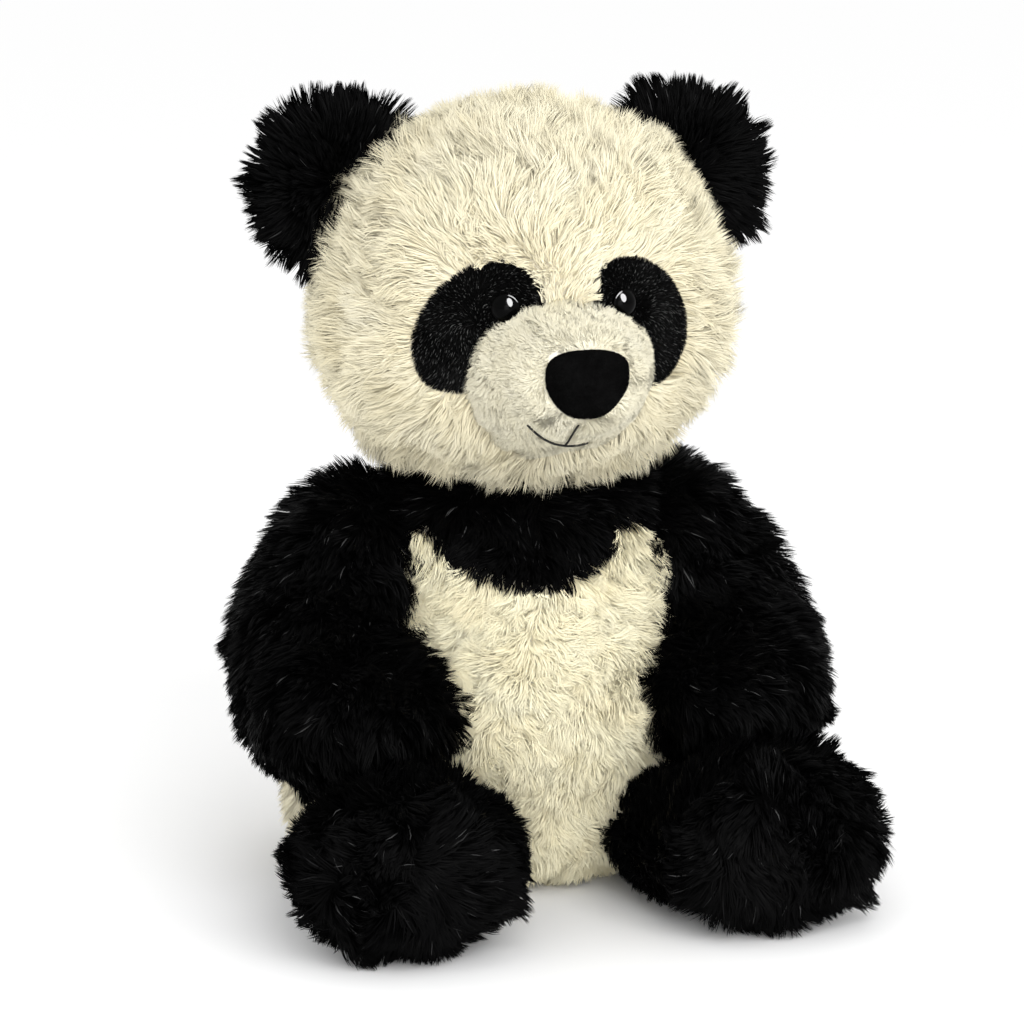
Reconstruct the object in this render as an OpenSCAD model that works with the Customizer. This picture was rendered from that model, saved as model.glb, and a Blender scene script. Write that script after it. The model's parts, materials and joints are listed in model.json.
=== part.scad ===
// Seated plush panda, built as it is sewn: cut panels of pile fabric over
// separate stuffing, with plastic eyes and nose on stems, and limbs, ears and
// head that each turn on a sewn joint.
// The toy faces -Y and sits on z = 0. Its left side is +X.

/* [Head] */
// Width of the head across the cheeks
head_w = 139; // [136:1:142]
// Depth of the head from brow to nape, without the muzzle
head_d = 128; // [125:1:130]
// Height of the head from chin to crown
head_h = 130; // [128:1:132]
// Height of the middle of the head above the floor
head_z = 225; // [225:1:228]
// How far the middle of the head sits in front of the neck axis
head_forward = 13; // [11:1:15]

/* [Muzzle, nose and mouth] */
// Width of the muzzle where it leaves the face
muzzle_w = 75; // [73:1:77]
// Height of the muzzle where it leaves the face
muzzle_h = 70; // [68:1:72]
// How far the muzzle stands out from the middle of the head
muzzle_reach = 91; // [88:1:93]
// Height of the middle of the muzzle above the floor, at its root
muzzle_z = 204; // [203:1:206]
// Width of the flocked nose
nose_w = 30; // [26:1:32]
// Height of the flocked nose
nose_h = 25; // [22:1:27]
// Distance from the middle of the face to the smile's raised corner
smile_corner = 17; // [14:1:19]
// Distance from the middle of the face to the smile's short end
smile_end = 9; // [6:1:12]

/* [Eyes] */
// Diameter of each plastic eye
eye_d = 10.4; // [9:0.2:11]
// Distance between the middles of the two eyes
eye_spacing = 45; // [42:1:48]
// Height of the eyes above the floor
eye_z = 230; // [229:1:232]
// Width of each dark eye patch
patch_w = 38; // [37:1:42]
// Length of each dark eye patch along its slant
patch_h = 56; // [54:1:60]
// Slant of each patch, its top towards the middle of the face
patch_slant = 45; // [40:1:48]

/* [Ears] */
// Radius of the round part of an ear
ear_r = 27; // [25:1:28]
// Thickness of an ear at its middle
ear_t = 19; // [16:1:20]
// Angle of an ear above level, seen from the front
ear_angle = 32; // [30:1:34]
// Distance from the middle of the head to the ear's hinge line
ear_hinge = 65; // [64:0.5:66]
// How far an ear folds forwards or backwards
ear_fold = 30; // [20:1:30]

/* [Body] */
// Width of the body across the hips
body_w = 160; // [156:1:164]
// Depth of the body from belly to back at the hips
body_d = 132; // [129:1:134]
// Height of the body from the floor to the neck
body_h = 155; // [154:1:156]
// Height where the dark upper panels meet the pale lower ones
waist_z = 88; // [84:1:94]
// Radius of the stuffed ball that seats the head in the neck
neck_r = 26; // [25:0.5:26.5]
// Height of the point that the head turns about
neck_z = 172; // [171:0.5:173]

/* [Arms] */
// Radius of the arm where it meets the shoulder
shoulder_r = 29; // [28:0.5:29.5]
// Distance from the middle of the toy to the shoulder joint
shoulder_x = 60; // [59:0.5:61]
// Height of the shoulder joint above the floor
shoulder_z = 124; // [123:0.5:125]
// How far an arm swings forwards and up
arm_swing = 48; // [40:1:50]

/* [Legs] */
// Radius of the leg where it meets the hip
hip_r = 22; // [21.5:0.1:22.2]
// Distance from the middle of the toy to the hip joint
hip_x = 50; // [49:0.5:51]
// Width of the foot
foot_w = 78; // [76:1:80]
// Height of the foot
foot_h = 61; // [58:1:63]
// How far a leg lifts from the floor
leg_raise = 10; // [5:1:10]
// How far a leg turns outwards
leg_spread = 20; // [10:1:20]

/* [Cloth and thread] */
// Thickness of the pile fabric's backing with the roots of its pile
cloth_t = 2.2; // [1.8:0.1:2.6]
// Gap between a moving piece and the piece it turns in
fit_gap = 0.5; // [0.4:0.05:0.6]
// Gap along a seam between two panels
seam_gap = 0.3; // [0.2:0.05:0.4]

/* [Hidden] */
outline_sides = 20;
inner_sides = 14;
ball_sides = 12;
inner_ball_sides = 8;
dish_sides = 20;
fine_sides = 48;
far = 400;
thread_t = 1.2;
thread_w = 4;
fill_gap = cloth_t + 0.4;
// A dish is faceted, so its radius has this much more than the running gap
dish_gap = fit_gap + 0.8;
limb_steps = 8;

black_pile = [0.07, 0.07, 0.08];
cream_pile = [0.95, 0.92, 0.83];
warm_pile = [0.94, 0.89, 0.74];
stuffing = [0.97, 0.97, 0.96];
plastic = [0.03, 0.03, 0.03];
washer_white = [0.85, 0.86, 0.86];
thread_black = [0.05, 0.05, 0.05];
satin_white = [0.98, 0.98, 0.96];

head_c = [0, -head_forward, head_z];
neck_c = [0, -4, neck_z];
muzzle_depth = muzzle_reach - 37;
muzzle_root = head_c.y - 37;
muzzle_rise = 3;
nose_z = muzzle_z + muzzle_rise;
muzzle_front = head_c.y - muzzle_reach;
patch_yaw = 29;
patch_middle = [32, -67.5, 222];
eye_yaw = 17;
patch_lift = 1.3;
eye_stem_r = 1.9;
eye_stem_len = 13;
eye_washer_r = 6;
eye_washer_t = 1.2;
eye_washer_depth = cloth_t + 5.8;
nose_stem_r = 2.5;
nose_stem_len = 16;
nose_washer_r = 9;
nose_washer_t = 1.5;
nose_washer_depth = cloth_t + 4.5;
nose_bulb = 7;
nose_tip = 9.5;

arm_shoulder = [[shoulder_x, -2, shoulder_z], [shoulder_r, shoulder_r, shoulder_r]];
arm_elbow = [[shoulder_x + 17, -18, shoulder_z - 34], [33, 33, 30]];
arm_paw = [[shoulder_x + 12, -52, shoulder_z - 51.5], [32, 30, 25.5]];

hip_z = hip_r + 2;
leg_hip = [[hip_x, -30, hip_z], [hip_r, hip_r, hip_r]];
leg_thigh = [[hip_x + 4, -64, 21.5], [32, 26, 20.5]];
leg_foot = [[hip_x + 19, -110, foot_h / 2 + 0.8], [foot_w / 2, 22, foot_h / 2]];
sole_y = -118;
leg_seam_z = 25;
arm_seam_x = arm_elbow[0].x - 4;

// The forehead gusset's half widths where it meets the muzzle and the crown
gusset_low = 9;
gusset_high = 30;

// The smile is a shallow bowl, lowest a little to one side
smile_low_z = muzzle_z - 24.8;
smile_low_x = 4;
smile_curve = 0.0254;
mouth_thread_r = 0.6;
// How far the mouth thread's middle stands off the muzzle, forwards and down
mouth_off = [1.1, 1.3];

base_z = 5;
side_y = 0;
belly_y = -20;
label_w = 26;
label_h = 18;
label_z = 34;

// Room left round a washer and behind it, and round a stem
washer_room = 0.5;
stem_room_r = 0.4;
bag_room = 0.4;
// Where each seam thread's band starts, along its joint's axis from the middle
neck_band = -20;
shoulder_band = 25;
hip_band = 9;

bag_c = [0, 16, 23.5];
bag_size = [44, 34, 20];
bag_t = 0.8;

// ---------------------------------------------------------------- helpers

// Fullness of a rounded form at t, from -1 at one end to 1 at the other
function dome(t, p) = pow(max(0, 1 - pow(abs(t), p)), 1 / p);

// Hidden inner faces are drawn with fewer sides
function sides_at(inset) = inset < cloth_t ? outline_sides : inner_sides;
function ball_sides_at(inset) = inset < cloth_t ? ball_sides : inner_ball_sides;

// Closed outline with half sizes a and b; skew makes its +Y end the fuller one
function oval(a, b, skew = 0, n = outline_sides) =
    [for (i = [0:n - 1])
        let (t = 360 * i / n)
        [a * cos(t) * (1 + skew * sin(t)), b * sin(t)]];

// The same outline as a level ring of points: s is [z, y, a, b, skew]
function ring(s, n) = [for (p = oval(s[2], s[3], s[4], n)) [p.x, s[1] + p.y, s[0]]];

// Value at t of the smooth curve through a, b and c at 0, 0.5 and 1
function through(a, b, c, t) =
    a * (2 * (t - 0.5) * (t - 1)) + b * (4 * t * (1 - t)) + c * (2 * t * (t - 0.5));

// Mirrors a left-hand piece to the right where side is -1
module sided(side) mirror([side < 0 ? 1 : 0, 0, 0]) children();

// Form whose level slices, [z, y, half width, half depth, skew], join in turn
module stack(slices, n) {
    ends = [[for (k = [0:n - 1]) k], [for (k = [n:2 * n - 1]) k]];
    for (i = [0:len(slices) - 2])
        hull()
            polyhedron(points = concat(ring(slices[i], n), ring(slices[i + 1], n)), faces = ends);
}

// Rounded limb whose centre and half sizes run smoothly through three stations
module limb(first, middle, last, inset)
    for (i = [0:limb_steps - 1])
        hull()
            for (t = [i / limb_steps, (i + 1) / limb_steps])
                translate(through(first[0], middle[0], last[0], t))
                    scale(through(first[1], middle[1], last[1], t) - [inset, inset, inset])
                        sphere(r = 1, $fn = ball_sides_at(inset));

// Everything on one side of a plane square to an axis, far away in all others
module beyond(x = undef, y = undef, z = undef, up = true)
    translate([
        is_undef(x) ? -far : up ? x : x - 2 * far,
        is_undef(y) ? -far : up ? y : y - 2 * far,
        is_undef(z) ? -far : up ? z : z - 2 * far])
        cube(2 * far);

// Prism along Y over an outline drawn in x and z
module from_front(points)
    translate([0, far, 0]) rotate([90, 0, 0]) linear_extrude(2 * far) polygon(points);

// Turns its children by an angle about an axis through a point
module turned(angle, axis, point)
    translate(point) rotate(a = angle, v = axis) translate(-point) children();

// Band cut from a thin ball around the z axis, for a seam thread that turns in place
module thread_band(inner_r, low, high)
    rotate_extrude($fn = fine_sides)
        intersection() {
            difference() {
                circle(r = inner_r + thread_t, $fn = fine_sides);
                circle(r = inner_r, $fn = fine_sides);
            }
            translate([0, low]) square([far, high - low]);
        }

// ---------------------------------------------------------------- soft forms

module head_ball(inset)
    stack([for (a = [-84:18.66:84])
        let (t = sin(a))
        [head_z + (head_h / 2 - inset) * t,
         head_c.y,
         (head_w / 2 - inset) * pow(max(0, 1 - pow(abs(t), 2.3)), 0.476) * (1 - 0.05 * t),
         (head_d / 2 - inset) * dome(t, 2.1),
         0]], sides_at(inset));

module head_form(inset)
    difference() {
        union() {
            head_ball(inset);
            translate(neck_c) sphere(r = neck_r - inset, $fn = dish_sides);
        }
        for (side = [-1, 1]) ear_room(side, inset + fit_gap);
    }

// Share of the muzzle's depth in front of its root, and of its size there
muzzle_slices = [
    [-0.30, 0.78],
    [-0.05, 0.97],
    [0.15, 0.96],
    [0.35, 0.88],
    [0.50, 0.79],
    [0.65, 0.68],
    [0.80, 0.56],
    [0.92, 0.45],
    [1.00, 0.36]
];

// The muzzle is stacked from the face forwards, then tipped to point along -Y
module muzzle_form(inset)
    translate([0, muzzle_root, muzzle_z])
        rotate([90, 0, 0])
            stack([for (s = muzzle_slices)
                [s[0] * (muzzle_depth - inset), s[0] * muzzle_rise,
                 muzzle_w / 2 * s[1] - inset, muzzle_h / 2 * s[1] - inset, 0]],
                sides_at(inset));

// An ear stands on its hinge line, leaning out by ear_angle, flat side forwards
module ear_place(side)
    sided(side)
        translate([0, 0, head_z])
            rotate([0, 90 - ear_angle, 0])
                translate([0, 0, ear_hinge])
                    children();

module ear_form(inset) {
    rise = 15;
    base_r = 8;
    stack([for (a = [-54:17:82])
        let (t = sin(a), full = dome(t, 2))
        [rise + (ear_r - inset) * t, 0, (ear_r - inset) * full,
         (base_r + (ear_t / 2 - base_r) * (1 - t * t) - inset) * (t > 0 ? dome(t, 2.6) : 1), 0]],
        inner_sides);
    rotate([0, 90, 0])
        translate([0, 0, inset - 17])
            cylinder(r = base_r - inset, h = 34 - 2 * inset, $fn = ball_sides);
}

// Space that an ear sweeps as it folds either way
module ear_room(side, grow)
    ear_place(side)
        hull()
            for (angle = [-ear_fold:ear_fold:ear_fold])
                rotate([angle, 0, 0]) ear_form(-grow);

module body_ball(inset)
    stack([for (s = body_slices) [
        inset + (body_h - 2 * inset) * s[0],
        s[1],
        body_w / 2 * s[2] - inset,
        body_d / 2 * s[3] - inset,
        s[4]]], sides_at(inset));

// Share of the height, middle of the slice in y, share of the hip half width
// and depth, and how much fuller the back is than the belly
body_slices = [
    [0.00, 12, 0.78, 0.74, 0.12],
    [0.05, 10, 0.92, 0.88, 0.14],
    [0.14, 8, 1.00, 0.98, 0.16],
    [0.32, 5, 1.00, 1.00, 0.18],
    [0.47, 3, 0.92, 0.98, 0.16],
    [0.60, 1, 0.80, 0.90, 0.12],
    [0.74, -1, 0.72, 0.79, 0.08],
    [0.87, -1, 0.71, 0.68, 0.04],
    [0.95, -1, 0.66, 0.58, 0.00],
    [1.00, -1, 0.56, 0.46, 0.00]
];

module arm_form(inset) limb(arm_shoulder, arm_elbow, arm_paw, inset);
module leg_form(inset) limb(leg_hip, leg_thigh, leg_foot, inset);

// Space that an arm sweeps, with its shoulder thread
module arm_room(grow) {
    hull()
        for (angle = [0:arm_swing / 2:arm_swing])
            turned(angle, [-1, 0, 0], arm_shoulder[0]) arm_form(-grow);
    translate(arm_shoulder[0])
        sphere(r = shoulder_r + thread_t + dish_gap + grow, $fn = dish_sides);
}

// Space that a leg sweeps, with its hip thread, open down to the floor
module leg_room(grow) {
    hull()
        for (spread = [0, leg_spread], raise = [0, leg_raise])
            turned(spread, [0, 0, 1], leg_hip[0])
                turned(raise, [-1, 0, 0], leg_hip[0]) leg_form(-grow);
    hull()
        for (drop = [0, hip_z])
            translate(leg_hip[0] - [0, 0, drop])
                sphere(r = hip_r + thread_t + dish_gap + grow, $fn = dish_sides);
}

module body_form(inset)
    difference() {
        body_ball(inset);
        translate(neck_c)
            sphere(r = neck_r + 2 * (thread_t + fit_gap) + dish_gap + inset, $fn = dish_sides);
        for (side = [-1, 1]) sided(side) {
            arm_room(fit_gap + inset);
            leg_room(fit_gap + inset);
        }
    }

// ---------------------------------------------------------------- head panels

module head_shell()
    difference() {
        head_form(0);
        head_form(cloth_t);
        muzzle_form(-seam_gap);
        for (side = [-1, 1]) eye_place(side)
            translate([0, 0, -eye_stem_len])
                cylinder(r = eye_stem_r + seam_gap, h = 2 * eye_stem_len, $fn = fine_sides);
    }

module gusset_zone(grow)
    from_front([for (side = [-1, 1], i = [0:2])
        let (k = side < 0 ? i : 2 - i)
        [side * ((k == 2 ? gusset_low : gusset_high) + grow),
         k == 0 ? head_z + far : k == 1 ? head_z + 20 : muzzle_z]]);

module forehead_gusset()
    color(cream_pile) intersection() {
        head_shell();
        gusset_zone(0);
        beyond(y = -seam_gap, up = false);
    }

module cheek(side)
    color(cream_pile) difference() {
        intersection() {
            head_shell();
            sided(side) beyond(x = seam_gap / 2);
            beyond(y = -seam_gap, up = false);
        }
        gusset_zone(seam_gap);
    }

module head_back()
    color(cream_pile) intersection() {
        head_shell();
        beyond(y = 0);
    }

module muzzle_skin()
    color(cream_pile) difference() {
        muzzle_form(0);
        muzzle_form(cloth_t);
        head_ball(cloth_t);
        nose_place() translate([0, 0, -nose_stem_len])
            cylinder(r = nose_stem_r + seam_gap, h = 2 * nose_stem_len, $fn = fine_sides);
        for (side = [-1, 1]) eye_place(side)
            translate([0, 0, -1]) cylinder(r = eye_d / 2 + 1, h = far, $fn = dish_sides);
    }

// A patch lies on the face as a thin layer, cut to a slanted oval
module eye_patch(side)
    color(black_pile) difference() {
        intersection() {
            head_ball(-patch_lift);
            sided(side)
                translate(patch_middle)
                    rotate([90, 0, patch_yaw])
                        rotate([0, 0, patch_slant])
                            translate([0, 0, -15])
                                linear_extrude(40) polygon(oval(patch_w / 2, patch_h / 2));
        }
        head_ball(-0.1);
        muzzle_form(-seam_gap);
        eye_place(side) translate([0, 0, -eye_stem_len])
            cylinder(r = eye_stem_r + seam_gap, h = 2 * eye_stem_len, $fn = fine_sides);
    }

// ---------------------------------------------------------------- eyes, nose, mouth

// Middle of an eye's flat back, with z pointing out of the face
module eye_place(side)
    sided(side)
        translate([eye_spacing / 2, head_c.y - (head_d / 2 + 1.6) * eye_depth_share, eye_z])
            rotate([90, 0, eye_yaw]) children();

// Share of the head's half depth left at the eyes' distance from the middle
eye_depth_share = sqrt(1 - pow(eye_spacing / head_w, 2));

module eye(side) {
    lens_r = eye_d / 2;
    color(plastic) eye_place(side) {
        intersection() {
            translate([0, 0, -0.6]) sphere(r = lens_r + 0.15, $fn = fine_sides);
            cylinder(r = far, h = far, $fn = fine_sides);
        }
        translate([0, 0, -eye_stem_len])
            cylinder(r = eye_stem_r, h = eye_stem_len, $fn = fine_sides);
    }
}

// Lock washers that grip the eye stems behind the cloth
module eye_washers()
    color(washer_white)
        for (side = [-1, 1])
            eye_place(side)
                translate([0, 0, -eye_washer_depth])
                    difference() {
                        cylinder(r = eye_washer_r, h = eye_washer_t, $fn = fine_sides);
                        translate([0, 0, -1])
                            cylinder(r = eye_stem_r + 0.05, h = eye_washer_t + 2, $fn = fine_sides);
                    }

// Middle of the nose's back face, with z pointing out of the muzzle
module nose_place()
    translate([0, muzzle_front - 0.3, nose_z]) rotate([90, 0, 0]) children();

module nose()
    color(plastic) nose_place() {
        hull() {
            for (side = [-1, 1])
                translate([side * (nose_w / 2 - nose_bulb), nose_h / 2 - nose_bulb, 0])
                    half_bulb(nose_bulb);
            translate([0, nose_tip - nose_h / 2, 0]) half_bulb(nose_tip);
        }
        translate([0, 0, -nose_stem_len])
            cylinder(r = nose_stem_r, h = nose_stem_len, $fn = fine_sides);
    }

module half_bulb(r)
    intersection() {
        sphere(r = r, $fn = 20);
        cylinder(r = far, h = far, $fn = 20);
    }

module nose_washer()
    color(washer_white) nose_place()
        translate([0, 0, -nose_washer_depth])
            difference() {
                cylinder(r = nose_washer_r, h = nose_washer_t, $fn = fine_sides);
                translate([0, 0, -1])
                    cylinder(r = nose_stem_r + 0.05, h = nose_washer_t + 2, $fn = fine_sides);
            }

// How far in front of the muzzle's root its surface lies at x and height z
function muzzle_out(x, z) =
    let (share = norm([x / (muzzle_w / 2), (z - muzzle_z - 2) / (muzzle_h / 2)]))
    muzzle_depth * lookup(share, [for (s = muzzle_slices) if (s[0] > 0) [s[1], s[0]]]);

// Point just off the muzzle's underside
function on_muzzle(x, z) =
    [x, muzzle_root - muzzle_out(x, z) - mouth_off[0], z - mouth_off[1]];

smile_line = [for (i = [0:8])
    let (x = -smile_corner + i / 8 * (smile_corner + smile_end))
    on_muzzle(x, smile_low_z + smile_curve * pow(x - smile_low_x, 2))];
lip_line = [for (z = [nose_z - nose_h / 2 - 5:-3:smile_low_z + 1]) on_muzzle(0, z)];

module thread_line(points)
    for (i = [0:len(points) - 2])
        hull()
            for (p = [points[i], points[i + 1]])
                translate(p) sphere(r = mouth_thread_r, $fn = 6);

module mouth_stitch()
    color(thread_black) {
        thread_line(smile_line);
        thread_line(lip_line);
    }

// ---------------------------------------------------------------- inside the head

module head_fill()
    color(stuffing) difference() {
        union() {
            head_form(fill_gap);
            muzzle_form(fill_gap);
        }
        for (side = [-1, 1]) {
            ear_room(side, fill_gap + fit_gap);
            eye_place(side)
                stem_room(eye_stem_r, eye_stem_len, eye_washer_r, eye_washer_depth);
        }
        nose_place() stem_room(nose_stem_r, nose_stem_len, nose_washer_r, nose_washer_depth);
    }

// Room for a stem and its washer, with the washer's back face at a depth
module stem_room(stem_r, stem_len, washer_r, depth) {
    translate([0, 0, -stem_len - stem_room_r])
        cylinder(r = stem_r + stem_room_r, h = far, $fn = ball_sides);
    translate([0, 0, -depth - washer_room - 0.1])
        cylinder(r = washer_r + washer_room, h = far, $fn = ball_sides);
}

// ---------------------------------------------------------------- ears

module ear_front(side)
    color(black_pile) ear_place(side) intersection() {
        ear_shell();
        beyond(y = -seam_gap / 2, up = false);
    }

module ear_back(side)
    color(black_pile) ear_place(side) intersection() {
        ear_shell();
        beyond(y = seam_gap / 2);
    }

module ear_shell()
    difference() {
        ear_form(0);
        ear_form(cloth_t);
    }

module ear_fill(side) color(stuffing) ear_place(side) ear_form(fill_gap);

// ---------------------------------------------------------------- neck threads

module neck_gather_thread()
    color(thread_black) translate(neck_c)
        thread_band(neck_r + fit_gap, neck_band, neck_band + thread_w);

module neck_seam_thread()
    color(thread_black) translate(neck_c)
        thread_band(neck_r + thread_t + 2 * fit_gap, neck_band, neck_band + thread_w);

// ---------------------------------------------------------------- body panels

module body_shell()
    difference() {
        body_form(0);
        body_form(cloth_t);
    }

// Front outline of the pale belly: a shield with a dip between two raised
// corners, its top sewn a little off centre
belly_outline = [
    [-2, 118], [14, 123], [25, 131], [32, 139], [40, 139], [44, 130], [42, 104], [35, 60],
    [25, -1], [-25, -1], [-36, 60], [-47, 104], [-52, 130], [-48, 139], [-42, 139],
    [-34, 131], [-20, 123]
];

module belly_zone(grow)
    translate([0, far, 0])
        rotate([90, 0, 0])
            linear_extrude(2 * far) offset(delta = grow) polygon(belly_outline);

module belly_panel()
    color(warm_pile) intersection() {
        body_shell();
        belly_zone(0);
        beyond(y = belly_y, up = false);
        beyond(z = base_z);
    }

module around_belly()
    difference() {
        body_shell();
        intersection() {
            belly_zone(seam_gap);
            beyond(y = belly_y + seam_gap, up = false);
        }
    }

module chest_yoke()
    color(black_pile) intersection() {
        around_belly();
        beyond(y = side_y - seam_gap, up = false);
        beyond(z = waist_z + seam_gap);
    }

module back_upper()
    color(black_pile) intersection() {
        around_belly();
        beyond(y = side_y);
        beyond(z = waist_z + seam_gap);
    }

// The pale lower back is two panels that meet in a seam down the middle
module back_lower(side)
    color(cream_pile) intersection() {
        around_belly();
        sided(side) beyond(x = seam_gap / 2);
        beyond(z = waist_z, up = false);
        beyond(z = base_z);
    }

module base_panel()
    color(cream_pile) intersection() {
        body_shell();
        beyond(z = base_z - seam_gap, up = false);
    }

// ---------------------------------------------------------------- inside the body

module bag_form(inset)
    translate([0, bag_c.y, bag_c.z])
        stack([for (a = [-80:20:80])
            [(bag_size.z - inset) * sin(a), 0,
             (bag_size.x - inset) * cos(a), (bag_size.y - inset) * cos(a), 0]], inner_sides);

// The stuffing packs round the bag, which lies on the base
module body_fill()
    color(stuffing) difference() {
        body_form(fill_gap);
        hull() {
            bag_form(-bag_room);
            translate([0, 0, -bag_c.z]) bag_form(-bag_room);
        }
    }

module bag_shell()
    difference() {
        bag_form(0);
        bag_form(bag_t);
    }

module pellet_bag_top()
    color(satin_white) intersection() {
        bag_shell();
        beyond(z = bag_c.z + seam_gap);
    }

module pellet_bag_bottom()
    color(satin_white) intersection() {
        bag_shell();
        beyond(z = bag_c.z, up = false);
    }

module pellets() color(washer_white) bag_form(bag_t + 0.3);

// How far back the body reaches on its centre line at a height
function back_y(z) =
    lookup(z, [for (s = body_slices) [body_h * s[0], s[1] + body_d / 2 * s[3]]]);

// Ladder stitches that close the opening in the lower back
module closing_stitch() {
    stitches = 9;
    pitch = 5;
    first_z = 22;
    color(satin_white)
        for (i = [0:stitches - 1])
            translate([0, back_y(first_z + pitch * i) + 0.75, first_z + pitch * i])
                rotate([0, 90, 0])
                    cylinder(r = 0.45, h = 5, center = true, $fn = ball_sides);
}

// Blank satin label, one edge caught in the middle seam of the lower back
module care_label()
    color(satin_white)
        translate([-3.2, back_y(label_z + label_h / 2) + 2.2, label_z])
            rotate([0, 0, 188])
                cube([label_w, 0.5, label_h]);

// ---------------------------------------------------------------- arms

module arm_shell()
    difference() {
        arm_form(0);
        arm_form(cloth_t);
    }

// The seam between the two arm panels runs down the middle of the arm
module arm_outer(side)
    color(black_pile) sided(side) intersection() {
        arm_shell();
        beyond(x = arm_seam_x + seam_gap);
    }

module arm_inner(side)
    color(black_pile) sided(side) intersection() {
        arm_shell();
        beyond(x = arm_seam_x, up = false);
    }

module arm_fill(side) color(stuffing) sided(side) arm_form(fill_gap);

module shoulder_thread(side)
    color(thread_black) sided(side)
        translate(arm_shoulder[0])
            rotate([0, -90, 0])
                thread_band(shoulder_r + fit_gap, shoulder_band, shoulder_band + thread_w);

// ---------------------------------------------------------------- legs

module leg_shell()
    difference() {
        leg_form(0);
        leg_form(cloth_t);
    }

module leg_top(side)
    color(black_pile) sided(side) intersection() {
        leg_shell();
        beyond(z = leg_seam_z + seam_gap);
        beyond(y = sole_y + seam_gap);
    }

module leg_bottom(side)
    color(black_pile) sided(side) intersection() {
        leg_shell();
        beyond(z = leg_seam_z, up = false);
        beyond(y = sole_y + seam_gap);
    }

module sole(side)
    color(black_pile) sided(side) intersection() {
        leg_shell();
        beyond(y = sole_y, up = false);
    }

module leg_fill(side) color(stuffing) sided(side) leg_form(fill_gap);

module hip_thread(side)
    color(thread_black) sided(side)
        translate(leg_hip[0])
            rotate([-90, 0, 0])
                thread_band(hip_r + fit_gap, hip_band, hip_band + thread_w);

// ---------------------------------------------------------------- assembly

forehead_gusset();
cheek(1);  // cheek_left
cheek(-1);  // cheek_right
head_back();
muzzle_skin();
eye_patch(1);  // eye_patch_left
eye_patch(-1);  // eye_patch_right
eye(1);  // eye_left
eye(-1);  // eye_right
eye_washers();
nose();
nose_washer();
mouth_stitch();
head_fill();
ear_front(1);  // ear_front_left
ear_back(1);  // ear_back_left
ear_fill(1);  // ear_fill_left
ear_front(-1);  // ear_front_right
ear_back(-1);  // ear_back_right
ear_fill(-1);  // ear_fill_right
neck_gather_thread();
neck_seam_thread();
chest_yoke();
belly_panel();
back_upper();
back_lower(1);  // back_lower_left
back_lower(-1);  // back_lower_right
base_panel();
body_fill();
pellet_bag_top();
pellet_bag_bottom();
pellets();
closing_stitch();
care_label();
arm_outer(1);  // arm_outer_left
arm_inner(1);  // arm_inner_left
arm_fill(1);  // arm_fill_left
shoulder_thread(1);  // shoulder_thread_left
arm_outer(-1);  // arm_outer_right
arm_inner(-1);  // arm_inner_right
arm_fill(-1);  // arm_fill_right
shoulder_thread(-1);  // shoulder_thread_right
leg_top(1);  // leg_top_left
leg_bottom(1);  // leg_bottom_left
sole(1);  // sole_left
leg_fill(1);  // leg_fill_left
hip_thread(1);  // hip_thread_left
leg_top(-1);  // leg_top_right
leg_bottom(-1);  // leg_bottom_right
sole(-1);  // sole_right
leg_fill(-1);  // leg_fill_right
hip_thread(-1);  // hip_thread_right
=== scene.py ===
"""Seated plush panda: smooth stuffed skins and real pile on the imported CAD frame."""
import json
import math

import bpy
import numpy as np
from mathutils import Matrix, Vector
from mathutils.bvhtree import BVHTree
from mathutils.kdtree import KDTree


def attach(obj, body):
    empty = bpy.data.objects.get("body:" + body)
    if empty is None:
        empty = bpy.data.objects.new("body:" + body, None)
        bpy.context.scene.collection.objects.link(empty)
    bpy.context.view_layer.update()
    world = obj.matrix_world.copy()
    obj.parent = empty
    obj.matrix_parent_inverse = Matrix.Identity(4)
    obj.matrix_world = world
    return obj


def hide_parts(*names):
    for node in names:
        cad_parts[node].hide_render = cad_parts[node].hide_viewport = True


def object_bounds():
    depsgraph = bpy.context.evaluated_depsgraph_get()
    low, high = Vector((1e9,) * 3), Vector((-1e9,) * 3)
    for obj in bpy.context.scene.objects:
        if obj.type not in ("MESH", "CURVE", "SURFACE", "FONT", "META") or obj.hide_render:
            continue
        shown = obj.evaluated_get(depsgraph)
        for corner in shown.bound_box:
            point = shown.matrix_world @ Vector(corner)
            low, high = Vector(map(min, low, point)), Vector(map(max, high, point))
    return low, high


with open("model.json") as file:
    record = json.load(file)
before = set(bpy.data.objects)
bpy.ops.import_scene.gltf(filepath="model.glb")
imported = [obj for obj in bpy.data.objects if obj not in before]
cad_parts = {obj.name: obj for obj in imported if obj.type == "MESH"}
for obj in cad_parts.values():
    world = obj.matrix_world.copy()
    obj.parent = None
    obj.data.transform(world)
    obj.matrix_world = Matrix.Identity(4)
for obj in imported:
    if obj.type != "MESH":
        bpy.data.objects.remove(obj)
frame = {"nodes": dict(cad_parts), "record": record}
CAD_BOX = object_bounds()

MM = 0.001
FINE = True
STRAND_SHARE = 1.0 if FINE else 0.35
SIDES = {"left": 1, "right": -1}
FLOOR_Z = 0.3
BOX_SPARE = 13
BOX_LOW = np.array([v / MM for v in CAD_BOX[0]]) - BOX_SPARE
BOX_HIGH = np.array([v / MM for v in CAD_BOX[1]]) + BOX_SPARE


# ---------------------------------------------------------------- maths on points, in mm

def unit(v):
    return v / np.maximum(np.linalg.norm(v, axis=-1, keepdims=True), 1e-9)


def waves(p, size, seed, count=7):
    """Smooth noise, mostly from -1 to 1, with features about size mm across."""
    r = np.random.default_rng(seed)
    k = unit(r.normal(size=(count, 3))) * (math.tau / size) * r.uniform(0.6, 1.4, (count, 1))
    return np.sin(p @ k.T + r.uniform(0, math.tau, count)).sum(1) / math.sqrt(count / 2) * 0.7


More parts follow.
